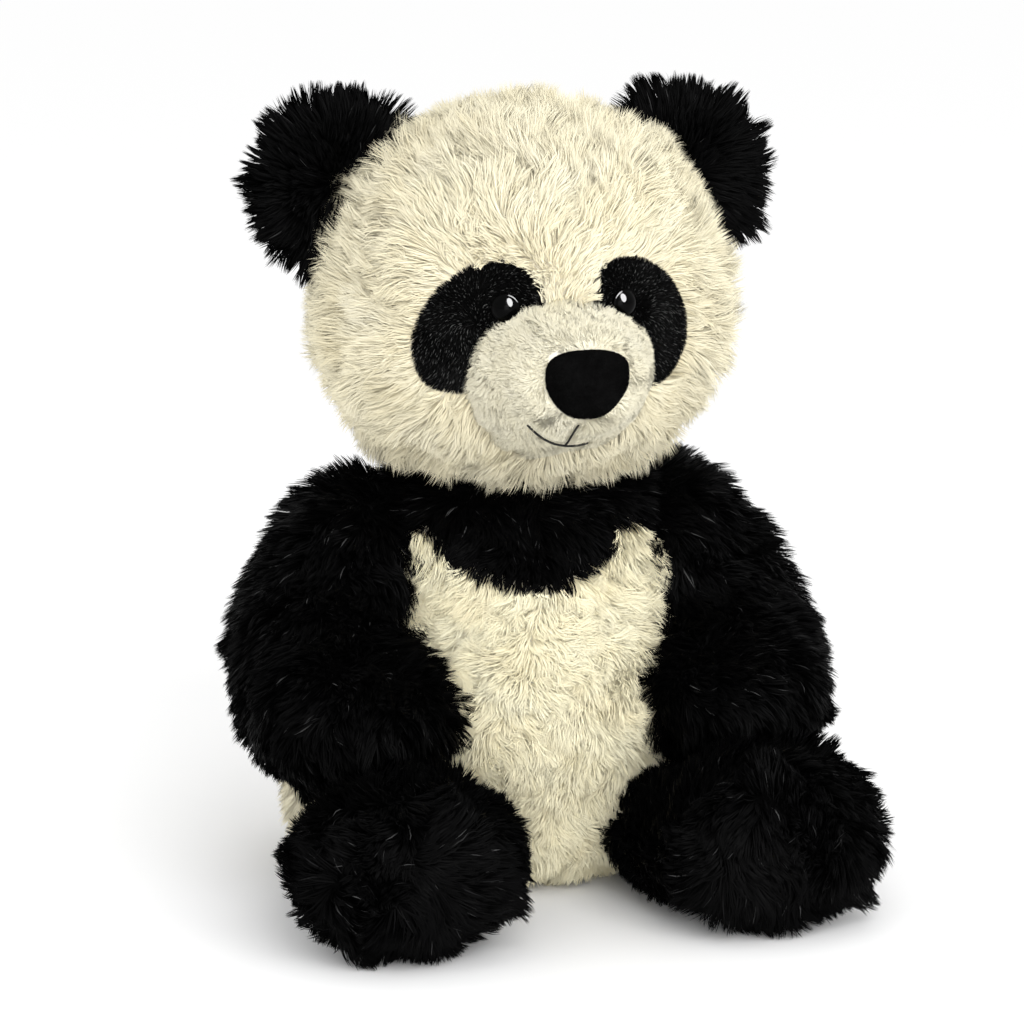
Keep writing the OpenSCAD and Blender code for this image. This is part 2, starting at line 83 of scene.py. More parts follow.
def ease(x, low, high):
    t = np.clip((x - low) / (high - low), 0, 1)
    return t * t * (3 - 2 * t)


def through(a, b, c, t):
    """Value at t of the smooth curve through a, b and c at 0, 0.5 and 1."""
    a, b, c = (np.array(v, float) for v in (a, b, c))
    return a * 2 * (t - 0.5) * (t - 1) + b * 4 * t * (1 - t) + c * 2 * t * (t - 0.5)


def smooth_table(rows, at):
    """Rows of [key, values...] read at each key in at, along a smooth monotone curve."""
    rows = np.array(rows, float)
    key, out = rows[:, 0], []
    for col in rows.T[1:]:
        d = np.diff(col) / np.diff(key)
        m = np.zeros(len(key))
        m[1:-1] = np.where(d[:-1] * d[1:] > 0, 2 * d[:-1] * d[1:] / (d[:-1] + d[1:] + 1e-12), 0)
        m[0], m[-1] = d[0], d[-1]
        i = np.clip(np.searchsorted(key, at, side="right") - 1, 0, len(key) - 2)
        h = key[i + 1] - key[i]
        t = (at - key[i]) / h
        out.append((1 + 2 * t) * (1 - t) ** 2 * col[i] + t * (1 - t) ** 2 * h * m[i]
                   + t * t * (3 - 2 * t) * col[i + 1] + t * t * (t - 1) * h * m[i + 1])
    return np.array(out)


def mirrored(p, side):
    return p * np.array([side, 1, 1])


# ---------------------------------------------------------------- forms, in mm
# These follow the CAD. Only the thighs are a little wider, to meet the forearms.

HEAD_C = np.array([0.0, -13.0, 225.0])
NECK_C = np.array([0.0, -4.0, 172.0])
HEAD_HALF = (69.5, 64.0, 65.0)
MUZZLE_ROOT_Y, MUZZLE_DEPTH, MUZZLE_Z, MUZZLE_RISE = -50.0, 54.0, 204.0, 3.0
MUZZLE_HALF = (36.2, 33.6)
MUZZLE_SLICES = [
    [-0.30, 0.80, 0.78], [-0.05, 0.98, 0.97], [0.15, 0.98, 0.95], [0.35, 0.93, 0.87],
    [0.50, 0.87, 0.78], [0.65, 0.78, 0.67], [0.80, 0.66, 0.55], [0.92, 0.53, 0.44],
    [1.00, 0.40, 0.35]]
NOSE_C = np.array([0.0, -104.0, 207.0])
EYE_X, EYE_Z, EYE_YAW, EYE_R = 22.5, 230.0, 17.0, 5.2
PATCH_C, PATCH_YAW, PATCH_SLANT = np.array([31.5, -67.5, 222.0]), 29.0, 45.0
PATCH_HALF = (19.0, 28.0)
EAR_ANGLE, EAR_HINGE, EAR_RISE, EAR_R = 32.0, 65.0, 15.0, 27.0
EAR_ROOT_T, EAR_SWELL = 8, 1.5
BODY_HALF, BODY_H = (80.0, 66.0), 155.0
BODY_SLICES = [
    [0.00, 12, 0.78, 0.74, 0.12], [0.05, 10, 0.92, 0.88, 0.14], [0.14, 8, 1.00, 0.98, 0.16],
    [0.32, 5, 1.00, 1.00, 0.18], [0.47, 3, 0.92, 0.98, 0.16], [0.60, 1, 0.80, 0.90, 0.12],
    [0.74, -1, 0.72, 0.79, 0.08], [0.87, -1, 0.71, 0.68, 0.04], [0.95, -1, 0.66, 0.58, 0.00],
    [1.00, -1, 0.56, 0.46, 0.00]]
WAIST_Z, BASE_Z, BELLY_Y = 88.0, 5.0, -20.0
BELLY = np.array([
    [-2, 118], [14, 123], [25, 131], [32, 139], [40, 139], [44, 130], [42, 104], [35, 60],
    [25, -1], [-25, -1], [-36, 60], [-47, 104], [-52, 130], [-48, 139], [-42, 139],
    [-34, 131], [-20, 123]], float)
ARM = [[[60, -2, 124], [29, 29, 29]], [[77, -18, 90], [33, 33, 30]],
       [[72, -52, 72.5], [32, 30, 25.5]]]
LEG = [[[50, -30, 24], [22, 22, 22]], [[57, -63, 21.5], [35, 27, 20.5]],
       [[69, -110, 31.3], [39, 22, 30.5]]]
ARM_SEAM_X, LEG_SEAM_Z, SOLE_Y = 73.0, 25.0, -118.0
SOLE_C = np.array([70.0, -120, 28])
LABEL_W, LABEL_H, LABEL_Z = 26.0, 18.0, 34.0
SMILE_LOW, SMILE_CURVE, SMILE_FROM, SMILE_TO = (4.0, 179.2), 0.0254, -17.0, 9.0


def stations(limb, count):
    t = np.linspace(0, 1, count)[:, None]
    return through(*[s[0] for s in limb], t), through(*[s[1] for s in limb], t)


def inside_limb(p, limb, grow=0.0):
    """True where a point lies inside a limb on either side of the toy."""
    q = np.abs(p) * [1, 0, 0] + p * [0, 1, 1]
    found = np.zeros(len(p), bool)
    for c, r in zip(*stations(limb, 14)):
        found |= np.linalg.norm((q - c) / (r + grow), axis=1) < 1
    return found


def muzzle_share(p):
    """How far out a point is from the muzzle's axis, 1 on its surface; high off its ends."""
    s = (MUZZLE_ROOT_Y - p[:, 1]) / MUZZLE_DEPTH
    w, h = smooth_table(MUZZLE_SLICES, np.clip(s, -0.3, 1))
    z = MUZZLE_Z + MUZZLE_RISE * s
    share = np.hypot(p[:, 0] / (MUZZLE_HALF[0] * w), (p[:, 2] - z) / (MUZZLE_HALF[1] * h))
    return np.where((s < -0.3) | (s > 1.05), 9, share)


def patch_axes(side):
    """Across, up and out directions of an eye patch."""
    yaw, slant = math.radians(PATCH_YAW), math.radians(PATCH_SLANT)
    out = np.array([math.sin(yaw), -math.cos(yaw), 0])
    level = np.array([math.cos(yaw), math.sin(yaw), 0])
    across = math.cos(slant) * level + math.sin(slant) * np.array([0, 0, 1])
    up = -math.sin(slant) * level + math.cos(slant) * np.array([0, 0, 1])
    return [mirrored(v, side) for v in (across, up, out)]


def patch_share(p, side):
    across, up, out = patch_axes(side)
    q = p - mirrored(PATCH_C, side)
    share = np.hypot(q @ across / PATCH_HALF[0], q @ up / PATCH_HALF[1])
    return np.where(q @ out < -18, 9, share)


def polygon_distance(x, z, outline):
    """Distance to a closed outline, negative inside it."""
    p = np.stack([x, z], 1)
    best, inside = np.full(len(p), 1e9), np.zeros(len(p), bool)
    for a, b in zip(outline, np.roll(outline, -1, axis=0)):
        e = b - a
        t = np.clip(((p - a) @ e) / (e @ e), 0, 1)
        best = np.minimum(best, np.linalg.norm(p - a - t[:, None] * e, axis=1))
        cross = ((a[1] > p[:, 1]) != (b[1] > p[:, 1])) & (
            p[:, 0] < (b[0] - a[0]) * (p[:, 1] - a[1]) / (b[1] - a[1] + 1e-12) + a[0])
        inside ^= cross
    return np.where(inside, -best, best)


# ---------------------------------------------------------------- surfaces

def everywhere(p, n):
    return np.full(len(p), True)


class Surface:
    """Closed mesh in mm, with its triangles and point normals."""

    def __init__(self, points, faces):
        self.p, self.faces = np.asarray(points, float), [tuple(f) for f in faces]
        tri = []
        for f in self.faces:
            tri += [(f[0], f[i], f[i + 1]) for i in range(1, len(f) - 1)]
        self.tri = np.array(tri)
        self.measure()

    def measure(self):
        a, b, c = (self.p[self.tri[:, i]] for i in range(3))
        cross = np.cross(b - a, c - a)
        self.area = np.linalg.norm(cross, axis=1) / 2
        n = np.zeros_like(self.p)
        for i in range(3):
            np.add.at(n, self.tri[:, i], cross)
        self.n = unit(n)
        return self

    def relax(self, rounds):
        """Evens the surface out without shrinking it much."""
        edges = np.array(sorted({tuple(sorted(e)) for f in self.faces
                                 for e in zip(f, f[1:] + f[:1])}))
        count = np.bincount(edges.ravel(), minlength=len(self.p))[:, None]
        for i in range(rounds):
            total = np.zeros_like(self.p)
            np.add.at(total, edges[:, 0], self.p[edges[:, 1]])
            np.add.at(total, edges[:, 1], self.p[edges[:, 0]])
            self.p += (total / count - self.p) * (0.6 if i % 2 == 0 else -0.61)
        return self.measure()

    def push(self, amount):
        self.p = self.p + self.n * np.asarray(amount)[:, None]
        return self.measure()

    def mirror(self):
        return Surface(mirrored(self.p, -1), [f[::-1] for f in self.faces])


def loft(rings):
    """Closed surface over rings of points, all with the same count, joined in turn."""
    r, n = rings.shape[:2]
    points = np.vstack([rings.reshape(-1, 3), rings[0].mean(0), rings[-1].mean(0)])
    faces = []
    for i in range(r - 1):
        for k in range(n):
            m = (k + 1) % n
            faces.append((i * n + k, i * n + m, (i + 1) * n + m, (i + 1) * n + k))
    for k in range(n):
        m = (k + 1) % n
        faces.append((r * n, m, k))
        faces.append((r * n + 1, (r - 1) * n + k, (r - 1) * n + m))
    return Surface(points, faces)


def turns(n):
    a = np.linspace(0, math.tau, n, endpoint=False)
    return np.cos(a), np.sin(a)


def head_surface():
    c, s = turns(150)
    rings = []
    for t in np.sin(np.radians(np.linspace(-87, 87, 84))):
        w = HEAD_HALF[0] * max(0, 1 - abs(t) ** 2.3) ** 0.476 * (1 - 0.05 * t)
        d = HEAD_HALF[1] * max(0, 1 - abs(t) ** 2.1) ** (1 / 2.1)
        z = HEAD_C[2] + HEAD_HALF[2] * t
        rings.append(np.stack([w * c, HEAD_C[1] + d * s, np.full_like(c, z)], 1))
    head = loft(np.array(rings))
    return head.push(0.8 * waves(head.p, 55, 3))


def muzzle_surface():
    c, s = turns(110)
    ts = np.concatenate([np.linspace(-0.3, 0.9, 40), np.linspace(0.92, 1.0, 6)])
    w, h = smooth_table(MUZZLE_SLICES, ts)
    w, h = MUZZLE_HALF[0] * w, MUZZLE_HALF[1] * h
    rings = [np.stack([a * c, np.full_like(c, MUZZLE_ROOT_Y - MUZZLE_DEPTH * t),
                       MUZZLE_Z + MUZZLE_RISE * t + b * s], 1) for t, a, b in zip(ts, w, h)]
    muzzle = loft(np.array(rings)).relax(6)
    x, y, z = muzzle.p.T
    under = ease(-z, -201, -185)
    groove = np.exp(-(x / 4.5) ** 2) * under * ease(-y, 70, 84)
    pads = np.exp(-((np.abs(x) - 12) / 9) ** 2 - ((z - 193) / 9) ** 2) * ease(-y, 68, 85)
    return muzzle.push(-1.2 * groove + 1.4 * pads - 1.2 + 0.5 * waves(muzzle.p, 28, 5))


def body_surface():
    c, s = turns(170)
    ts = np.concatenate([[0.004], np.linspace(0.02, 0.985, 74), [1.0]])
    y, w, d, skew = smooth_table(BODY_SLICES, ts)
    rings = []
    for t, y0, a, b, k in zip(ts, y, BODY_HALF[0] * w, BODY_HALF[1] * d, skew):
        rings.append(np.stack([a * c * (1 + k * s), y0 + b * s, np.full_like(c, BODY_H * t)], 1))
    body = loft(np.array(rings))
    x, y, z = body.p.T
    front = ease(-y, 15, 35)
    paunch = 3.5 * front * np.exp(-((z - 62) / 34) ** 2) * np.exp(-(x / 42) ** 2)
    lumps = 1.1 * waves(body.p, 48, 11) * ease(z, 6, 25)
    return body.push(paunch + lumps)


def limb_surface(limb, seed):
    """Union of the limb's rounded stations, remeshed and relaxed to one even skin."""
    c, s = turns(28)
    ring = np.radians(np.linspace(-84, 84, 15))
    ball = loft(np.array([np.stack([np.cos(a) * c, np.cos(a) * s, np.full_like(c, np.sin(a))], 1)
                          for a in ring]))
    points, faces = [], []
    for centre, r in zip(*stations(limb, 33)):
        base = len(points) * len(ball.p)
        points.append(centre + ball.p * r)
        faces += [tuple(base + i for i in f) for f in ball.faces]
    me = bpy.data.meshes.new("limb")
    me.from_pydata((np.vstack(points) * MM).tolist(), [], faces)
    ob = bpy.data.objects.new("limb", me)
    bpy.context.scene.collection.objects.link(ob)
    mod = ob.modifiers.new("skin", "REMESH")
    mod.mode, mod.voxel_size = "VOXEL", 1.7 * MM
    out = ob.evaluated_get(bpy.context.evaluated_depsgraph_get()).to_mesh()
    co = np.empty(len(out.vertices) * 3)
    out.vertices.foreach_get("co", co)
    skin = Surface(co.reshape(-1, 3) / MM, [tuple(f.vertices) for f in out.polygons])
    bpy.data.objects.remove(ob, do_unlink=True)
    bpy.data.meshes.remove(me)
    skin.relax(10)
    skin.push(0.9 * waves(skin.p, 34, seed))
    skin.p[:, 2] = np.maximum(skin.p[:, 2], 0.6)
    return skin.measure()


def ear_frame(side):
    """Matrix from the ear's own axes (across, thick, outwards) to the row frame, in mm."""
    a = math.radians(90 - EAR_ANGLE)
    m = (Matrix.Translation((0, 0, HEAD_C[2])) @ Matrix.Rotation(a, 4, "Y")
         @ Matrix.Translation((0, 0, EAR_HINGE)))
    m = np.array(m)
    return lambda p: mirrored(p @ m[:3, :3].T + m[:3, 3], side)


def ear_surface(side):
    c, s = turns(90)
    rings = []
    ball = EAR_RISE + EAR_R * np.sin(np.radians(np.linspace(-52, 86, 44)))
    for t in np.concatenate([[-10, -6], ball]):
        u = np.clip((t - EAR_RISE) / EAR_R, -0.8, 1)
        w = EAR_R * math.sqrt(max(0.0, 1 - u * u))
        y = EAR_ROOT_T + EAR_SWELL * (1 - u * u)
        y *= max(0.0, 1 - abs(u) ** 2.6) ** (1 / 2.6) if u > 0 else 1
        # the front face is a little hollow, as a sewn ear is
        rings.append(np.stack([w * c, y * s * (1 - 0.18 * (s < 0) * (1 - c * c)),
                               np.full_like(c, t)], 1))
    ear = loft(np.array(rings)).relax(4)
    faces = ear.faces if side > 0 else [f[::-1] for f in ear.faces]
    placed = Surface(ear_frame(side)(ear.p), faces)
    return placed.push(0.5 * waves(placed.p, 20, 17))


# ---------------------------------------------------------------- materials

def new_material(name, **sockets):
    mat = bpy.data.materials.new(name)
    mat.use_nodes = True
    nodes, links = mat.node_tree.nodes, mat.node_tree.links
    shader = nodes["Principled BSDF"]
    for key, value in sockets.items():
        shader.inputs[key.replace("_", " ")].default_value = value
    return mat, nodes, links, shader


def add_relief(nodes, links, shader, height, strength, distance):
    """Small surface relief from a texture's height; distance in mm."""
    relief = nodes.new("ShaderNodeBump")
    relief.inputs["Strength"].default_value = strength
    relief.inputs["Distance"].default_value = distance * MM
    links.new(height, relief.inputs["Height"])
    links.new(relief.outputs[0], shader.inputs["Normal"])


def ramp(nodes, stops):
    node = nodes.new("ShaderNodeValToRGB")
    while len(node.color_ramp.elements) < len(stops):
        node.color_ramp.elements.new(0.5)
    for e, (at, colour) in zip(node.color_ramp.elements, stops):
        e.position, e.color = at, (*colour, 1)
    return node


TONES = 64
# Black piles keep the tones above this share for a few strands with a painted glint, grey that
# stands in for the light they catch
PAINTED_GLINT_SHARE = 0.80


def pile_material(name, tints, root_shade_stops, roughness, specular):
    """Colour from the strand's tone column (u), times painted shade along the strand (v): darker
    near the skin, lightest at the tip.
    """
    mat, nodes, links, shader = new_material(
        name, Roughness=roughness, Specular_IOR_Level=specular)
    uv = nodes.new("ShaderNodeUVMap")
    uv.uv_map = "OFBake"
    split = nodes.new("ShaderNodeSeparateXYZ")
    links.new(uv.outputs[0], split.inputs[0])
    column = split.outputs[0]
    for operation, value in (("MULTIPLY", TONES), ("FLOOR", 0), ("DIVIDE", TONES - 1)):
        step = nodes.new("ShaderNodeMath")
        step.operation = operation
        step.inputs[1].default_value = value
        links.new(column, step.inputs[0])
        column = step.outputs[0]
    tint = ramp(nodes, tints)
    links.new(column, tint.inputs[0])
    # painted shade: each strand is darkened towards the skin and is lightest at its tip
    root_shade_ramp = ramp(nodes, root_shade_stops)
    links.new(split.outputs[1], root_shade_ramp.inputs[0])
    mix = nodes.new("ShaderNodeMix")
    mix.data_type, mix.blend_type = "RGBA", "MULTIPLY"
    mix.inputs[0].default_value = 1
    links.new(tint.outputs[0], mix.inputs[6])
    links.new(root_shade_ramp.outputs[0], mix.inputs[7])
    links.new(mix.outputs[2], shader.inputs["Base Color"])
    # both faces of a strand are lit alike
    normal = nodes.new("ShaderNodeAttribute")
    normal.attribute_name = "pile_normal"
    world_normal = nodes.new("ShaderNodeVectorTransform")
    world_normal.vector_type, world_normal.convert_from, world_normal.convert_to = (
        "NORMAL", "OBJECT", "WORLD")
    links.new(normal.outputs["Vector"], world_normal.inputs[0])
    links.new(world_normal.outputs[0], shader.inputs["Normal"])
    return mat


def cloth_material(name, low, high, size, roughness=0.9, bump=0.3, specular=0.2):
    """Knitted backing of a pile fabric: mottled colour and a fine knit relief."""
    mat, nodes, links, shader = new_material(name, Roughness=roughness, Specular_IOR_Level=specular)
    at = nodes.new("ShaderNodeTexCoord")
    mottle = nodes.new("ShaderNodeTexNoise")
    mottle.inputs["Scale"].default_value = 1 / (size * MM)
    mottle.inputs["Detail"].default_value = 6
    links.new(at.outputs["Object"], mottle.inputs["Vector"])
    tint = ramp(nodes, [(0.3, low), (0.7, high)])
    links.new(mottle.outputs["Fac"], tint.inputs[0])
    links.new(tint.outputs[0], shader.inputs["Base Color"])
    knit = nodes.new("ShaderNodeTexVoronoi")
    knit.inputs["Scale"].default_value = 1 / (0.9 * MM)
    links.new(at.outputs["Object"], knit.inputs["Vector"])
    add_relief(nodes, links, shader, knit.outputs["Distance"], bump, 0.3)
    return mat


def plastic_material(name, colour, roughness, specular=0.5):
    """Moulded plastic with a faint mottle and a trace of orange peel."""
    mat, nodes, links, shader = new_material(
        name, Roughness=roughness, Specular_IOR_Level=specular)
    at = nodes.new("ShaderNodeTexCoord")
    noise = nodes.new("ShaderNodeTexNoise")
    noise.inputs["Scale"].default_value = 1 / (2.5 * MM)
    links.new(at.outputs["Object"], noise.inputs["Vector"])
    tint = ramp(nodes, [(0.35, [v * 0.85 for v in colour]), (0.65, colour)])
    links.new(noise.outputs["Fac"], tint.inputs[0])
    links.new(tint.outputs[0], shader.inputs["Base Color"])
    add_relief(nodes, links, shader, noise.outputs["Fac"], 0.02, 0.1)
    return mat


def thread_material(name, colour):
    """Twisted thread: fine slanted plies, with painted shade in the grooves between them."""
    mat, nodes, links, shader = new_material(name, Roughness=0.6, Specular_IOR_Level=0.3)
    at = nodes.new("ShaderNodeTexCoord")
    ply = nodes.new("ShaderNodeTexWave")
    ply.inputs["Scale"].default_value = 1 / (1.2 * MM)
    ply.bands_direction = "DIAGONAL"
    links.new(at.outputs["Object"], ply.inputs["Vector"])
    # painted shade: where the ply relief is low, in the grooves, the colour is darker
    tint = ramp(nodes, [(0.2, [v * 0.55 for v in colour]), (0.8, colour)])
    links.new(ply.outputs["Fac"], tint.inputs[0])
    links.new(tint.outputs[0], shader.inputs["Base Color"])
    add_relief(nodes, links, shader, ply.outputs["Fac"], 0.4, 0.1)
    return mat


# Black pile tones; the tones above 0.80 are painted glints, grey that stands in for the light a few
# strands catch
BLACK_TONES_AND_PAINTED_GLINTS = [(0.0, (0.0008, 0.0008, 0.0009)), (0.80, (0.0018, 0.0018, 0.0019)),
               (0.90, (0.010, 0.010, 0.0105)), (1.0, (0.07, 0.07, 0.07))]
MATERIALS = {
    "cream_pile": pile_material(
        "cream_pile",
        [(0.0, (0.88, 0.79, 0.54)), (0.5, (0.94, 0.87, 0.64)), (1.0, (0.98, 0.93, 0.74))],
        [(0.0, (0.99, 0.97, 0.93)), (1.0, (1.0, 1.0, 1.0))], 0.6, 0.2),
    "belly_pile": pile_material(
        "belly_pile",
        [(0.0, (0.98, 0.87, 0.58)), (0.5, (1.0, 0.93, 0.66)), (1.0, (1.0, 0.96, 0.74))],
        [(0.0, (1.0, 0.98, 0.93)), (1.0, (1.0, 1.0, 1.0))], 0.6, 0.2),
    "muzzle_pile": pile_material(
        "muzzle_pile",
        [(0.0, (0.85, 0.79, 0.59)), (0.5, (0.90, 0.85, 0.66)), (1.0, (0.94, 0.90, 0.74))],
        [(0.0, (0.99, 0.98, 0.95)), (1.0, (1.0, 1.0, 1.0))], 0.6, 0.2),
    "black_pile": pile_material(
        "black_pile", BLACK_TONES_AND_PAINTED_GLINTS, [(0.0, (0.5, 0.5, 0.5)), (1.0, (1.0, 1.0, 1.0))], 0.4, 0.035),
    # the patch tones above 0.80 are painted glints, grey that stands in for light caught by the
    # pile
    "patch_pile": pile_material(
        "patch_pile", [(0.0, (0.0008, 0.0008, 0.0008)), (0.7, (0.004, 0.004, 0.004)),
                       (0.88, (0.03, 0.03, 0.029)), (1.0, (0.16, 0.16, 0.155))],
        [(0.0, (0.3, 0.3, 0.3)), (1.0, (1.0, 1.0, 1.0))], 0.6, 0.04),
    "nose_flock": pile_material(
        "nose_flock", [(0.0, (0.0006, 0.0006, 0.0006)), (1.0, (0.0022, 0.0019, 0.0019))],
        [(0.0, (0.4, 0.4, 0.4)), (1.0, (1.0, 1.0, 1.0))], 0.7, 0.03),
    "cream_cloth": cloth_material("cream_cloth", (0.86, 0.79, 0.62), (0.92, 0.86, 0.70), 9),
    "belly_cloth": cloth_material("belly_cloth", (0.95, 0.88, 0.68), (0.99, 0.93, 0.76), 9),
    "muzzle_cloth": cloth_material("muzzle_cloth", (0.84, 0.80, 0.67), (0.90, 0.86, 0.74), 6),
    "black_cloth": cloth_material(
        "black_cloth", (0.001, 0.001, 0.001), (0.003, 0.003, 0.003), 9, specular=0.02),
    "nose_cloth": cloth_material(
        "nose_cloth", (0.0015, 0.0015, 0.0015), (0.004, 0.004, 0.004), 3, specular=0.03),
    "stuffing": cloth_material("stuffing", (0.78, 0.78, 0.76), (0.95, 0.95, 0.93), 5, bump=0.6),
    "eye_plastic": plastic_material(
        "eye_plastic", (0.00005, 0.00005, 0.00005), 0.05, specular=0.045),
    "washer_plastic": plastic_material("washer_plastic", (0.80, 0.81, 0.80), 0.4),
    "thread": thread_material("thread", (0.012, 0.011, 0.011)),
    "pale_thread": thread_material("pale_thread", (0.85, 0.80, 0.68)),
    "satin": cloth_material(
        "satin", (0.88, 0.88, 0.86), (0.96, 0.96, 0.94), 4, roughness=0.35, bump=0.15,
        specular=0.5),
    "pellet": plastic_material("pellet", (0.82, 0.83, 0.83), 0.45),
}


# ---------------------------------------------------------------- pieces

def mesh_object(name, points, faces, material, body):
    me = bpy.data.meshes.new(name)
    me.from_pydata((np.asarray(points) * MM).tolist(), [], faces)
    me.materials.append(MATERIALS[material])
    me.shade_smooth()
    ob = bpy.data.objects.new(name, me)
    bpy.context.scene.collection.objects.link(ob)
    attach(ob, body)
    return ob


def panel(name, surface, inside, material, body, node, rim=2.0):
    """The faces of a surface where inside() holds, its cut edge turned in as a seam."""
    keep = inside(surface.p, surface.n)
    faces = [f for f in surface.faces if keep[f[0]]]
    used = sorted({i for f in faces for i in f})
    place = {old: new for new, old in enumerate(used)}
    points = list(surface.p[used])
    faces = [tuple(place[i] for i in f) for f in faces]
    seen = {}
    for f in faces:
        for e in zip(f, f[1:] + f[:1]):
            seen[tuple(sorted(e))] = (seen.get(tuple(sorted(e)), (0,))[0] + 1, e)
    turned = {}
    for count, e in seen.values():
        if count == 1:
            for i in e:
                if i not in turned:
                    turned[i] = len(points)
                    points.append(points[i] - surface.n[used[i]] * rim)
            faces.append((e[1], e[0], turned[e[0]], turned[e[1]]))
    ob = mesh_object(name, points, faces, material, body)
    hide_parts(node)
    return ob


def scatter(surface, per_mm2, keep, rng):
    """Points spread evenly over a surface, with their normals, where keep() holds."""
    total = surface.area.sum()
    count = int(total * per_mm2 * STRAND_SHARE)
    at = (np.arange(count) + rng.random(count)) / count * total
    t = surface.tri[np.minimum(np.searchsorted(np.cumsum(surface.area), at), len(surface.tri) - 1)]
    u, v = np.sqrt(rng.random(count)), rng.random(count)
    w = np.stack([1 - u, u * (1 - v), u * v], 1)[:, :, None]
    p, n = (surface.p[t] * w).sum(1), unit((surface.n[t] * w).sum(1))
    ok = keep(p, n)
    return p[ok], n[ok]


def fur(name, surface, keep, material, body, slot, flow, per_mm2, length, width,
        lean=(35, 60), wander=25, curl=0, clump=9, pull=0.6, vary=0.18, glint=0.0,
        levels=(0, 0.35, 0.7, 1), roll=30, soft=0.6, mottle=(0.20, 0.16), seed=1,
        shorten=None):
    """Pile: tapered strands that lean along flow and gather into pointed tufts."""
    rng = np.random.default_rng(seed)
    p, n = scatter(surface, per_mm2, keep, rng)
    count = len(p)
    f = flow(p, n)
    f = unit(f - n * (f * n).sum(1, keepdims=True) + 1e-6)
    b = np.cross(n, f)
    turn = np.radians(wander * waves(p, 26, seed + 50) + 0.6 * wander * waves(p, 9, seed + 51)
                      + 7 * rng.normal(size=count))
    lean_noise = 9 * waves(p, 17, seed + 52) + 5 * rng.normal(size=count)
    bend = np.radians(curl) * (0.5 * waves(p, 7, seed + 53) + 0.5 * rng.normal(size=count))
    size = length * (1 + vary * waves(p, 14, seed + 54) + 0.10 * rng.normal(size=count))
    if shorten is not None:
        size = size * shorten(p)
    size = np.clip(size, 0.15 * length, 1.35 * length)
    path, ways = [p - n * 0.3], []
    for k in range(1, len(levels)):
        s = (levels[k - 1] + levels[k]) / 2
        theta = np.radians(np.clip(lean[0] + (lean[1] - lean[0]) * s + lean_noise, 2, 88))
        psi = turn + bend * s * 2
        side_way = np.cos(psi)[:, None] * f + np.sin(psi)[:, None] * b
        way = np.cos(theta)[:, None] * n + np.sin(theta)[:, None] * side_way
        path.append(path[-1] + way * (size * (levels[k] - levels[k - 1]))[:, None])
        ways.append((way, np.cross(n, side_way)))
    path = np.array(path)
    # tufts: every strand is drawn towards the strand in the middle of its tuft
    for group, strength in ((clump * 7, 0.35 * pull), (clump, pull)):
        middles = rng.choice(count, max(1, count // group), replace=False)
        tree = KDTree(len(middles))
        for i, m in enumerate(middles):
            tree.insert(path[0, m], i)
        tree.balance()
        near = middles[[tree.find(q)[1] for q in path[0]]]
        grip = strength * rng.uniform(0.55, 1.1, count)
        for k in range(1, len(levels)):
            g = (grip * levels[k] ** 1.25)[:, None]
            path[k] = path[k] * (1 - g) + path[k][near] * g
    low = path[..., 2] < FLOOR_Z
    path[..., 2][low] = FLOOR_Z + 0.25 * rng.random(low.sum())
    path = np.clip(path, BOX_LOW, BOX_HIGH)
    spin = np.radians(roll) * rng.normal(size=count)
    last = len(levels) - 1
    points, v_at, normals = [], [], []
    for k in range(last):
        way, cross = ways[min(k, last - 1)]
        across = np.cos(spin)[:, None] * cross + np.sin(spin)[:, None] * np.cross(way, cross)
        facing = np.cross(way, across)
        normals += [unit(soft * n + (1 - soft) * facing)] * 2
        half = 0.5 * width * (1.0 - 0.25 * levels[k]) * (0.8 + 0.4 * rng.random(count))[:, None]
        points += [path[k] - across * half, path[k] + across * half]
        v_at += [levels[k], levels[k]]
    points.append(path[last])
    normals.append(normals[-1])
    v_at.append(1.0)
    per = len(points)
    co = np.stack(points, 1).reshape(-1, 3) * MM
    corners = []
    for k in range(last - 1):
        corners += [2 * k, 2 * k + 2, 2 * k + 3, 2 * k + 1]
    corners += [2 * last - 1, 2 * last - 2, 2 * last]
    starts = list(range(0, 4 * (last - 1), 4)) + [4 * (last - 1)]
    loops = (np.arange(count)[:, None] * per + np.array(corners)).ravel()
    begin = (np.arange(count)[:, None] * len(corners) + np.array(starts)).ravel()
    shade = 0.5 + mottle[0] * waves(p, 21, seed + 55) + mottle[1] * rng.normal(size=count)
    top = TONES - 1 if glint == 0 else int(TONES * PAINTED_GLINT_SHARE)
    column = np.clip((shade * top).astype(int), 0, top)
    # painted glint: a few strands take the light grey top tones, which stand in for a highlight
    painted_glint = rng.random(count) < glint
    column[painted_glint] = rng.integers(int(TONES * (PAINTED_GLINT_SHARE + 0.02)), TONES, painted_glint.sum())
    u_of = np.array([0.1 if i % 2 == 0 else 0.9 for i in range(per - 1)] + [0.5])
    v_of = 0.02 + 0.96 * np.array(v_at)[corners]
    uv = np.stack([(column[:, None] + u_of[corners]) / TONES,
                   np.broadcast_to(v_of, (count, len(corners)))], 2)
    me = bpy.data.meshes.new(name)
    me.vertices.add(len(co))
    me.vertices.foreach_set("co", co.ravel().astype(np.float32))
    me.loops.add(len(loops))
    me.loops.foreach_set("vertex_index", loops.astype(np.int32))
    me.polygons.add(len(begin))
    me.polygons.foreach_set("loop_start", begin.astype(np.int32))
    me.update(calc_edges=True)
    me.uv_layers.new(name="OFBake").data.foreach_set("uv", uv.ravel().astype(np.float32))
    me.materials.append(MATERIALS[material])
    me.shade_smooth()
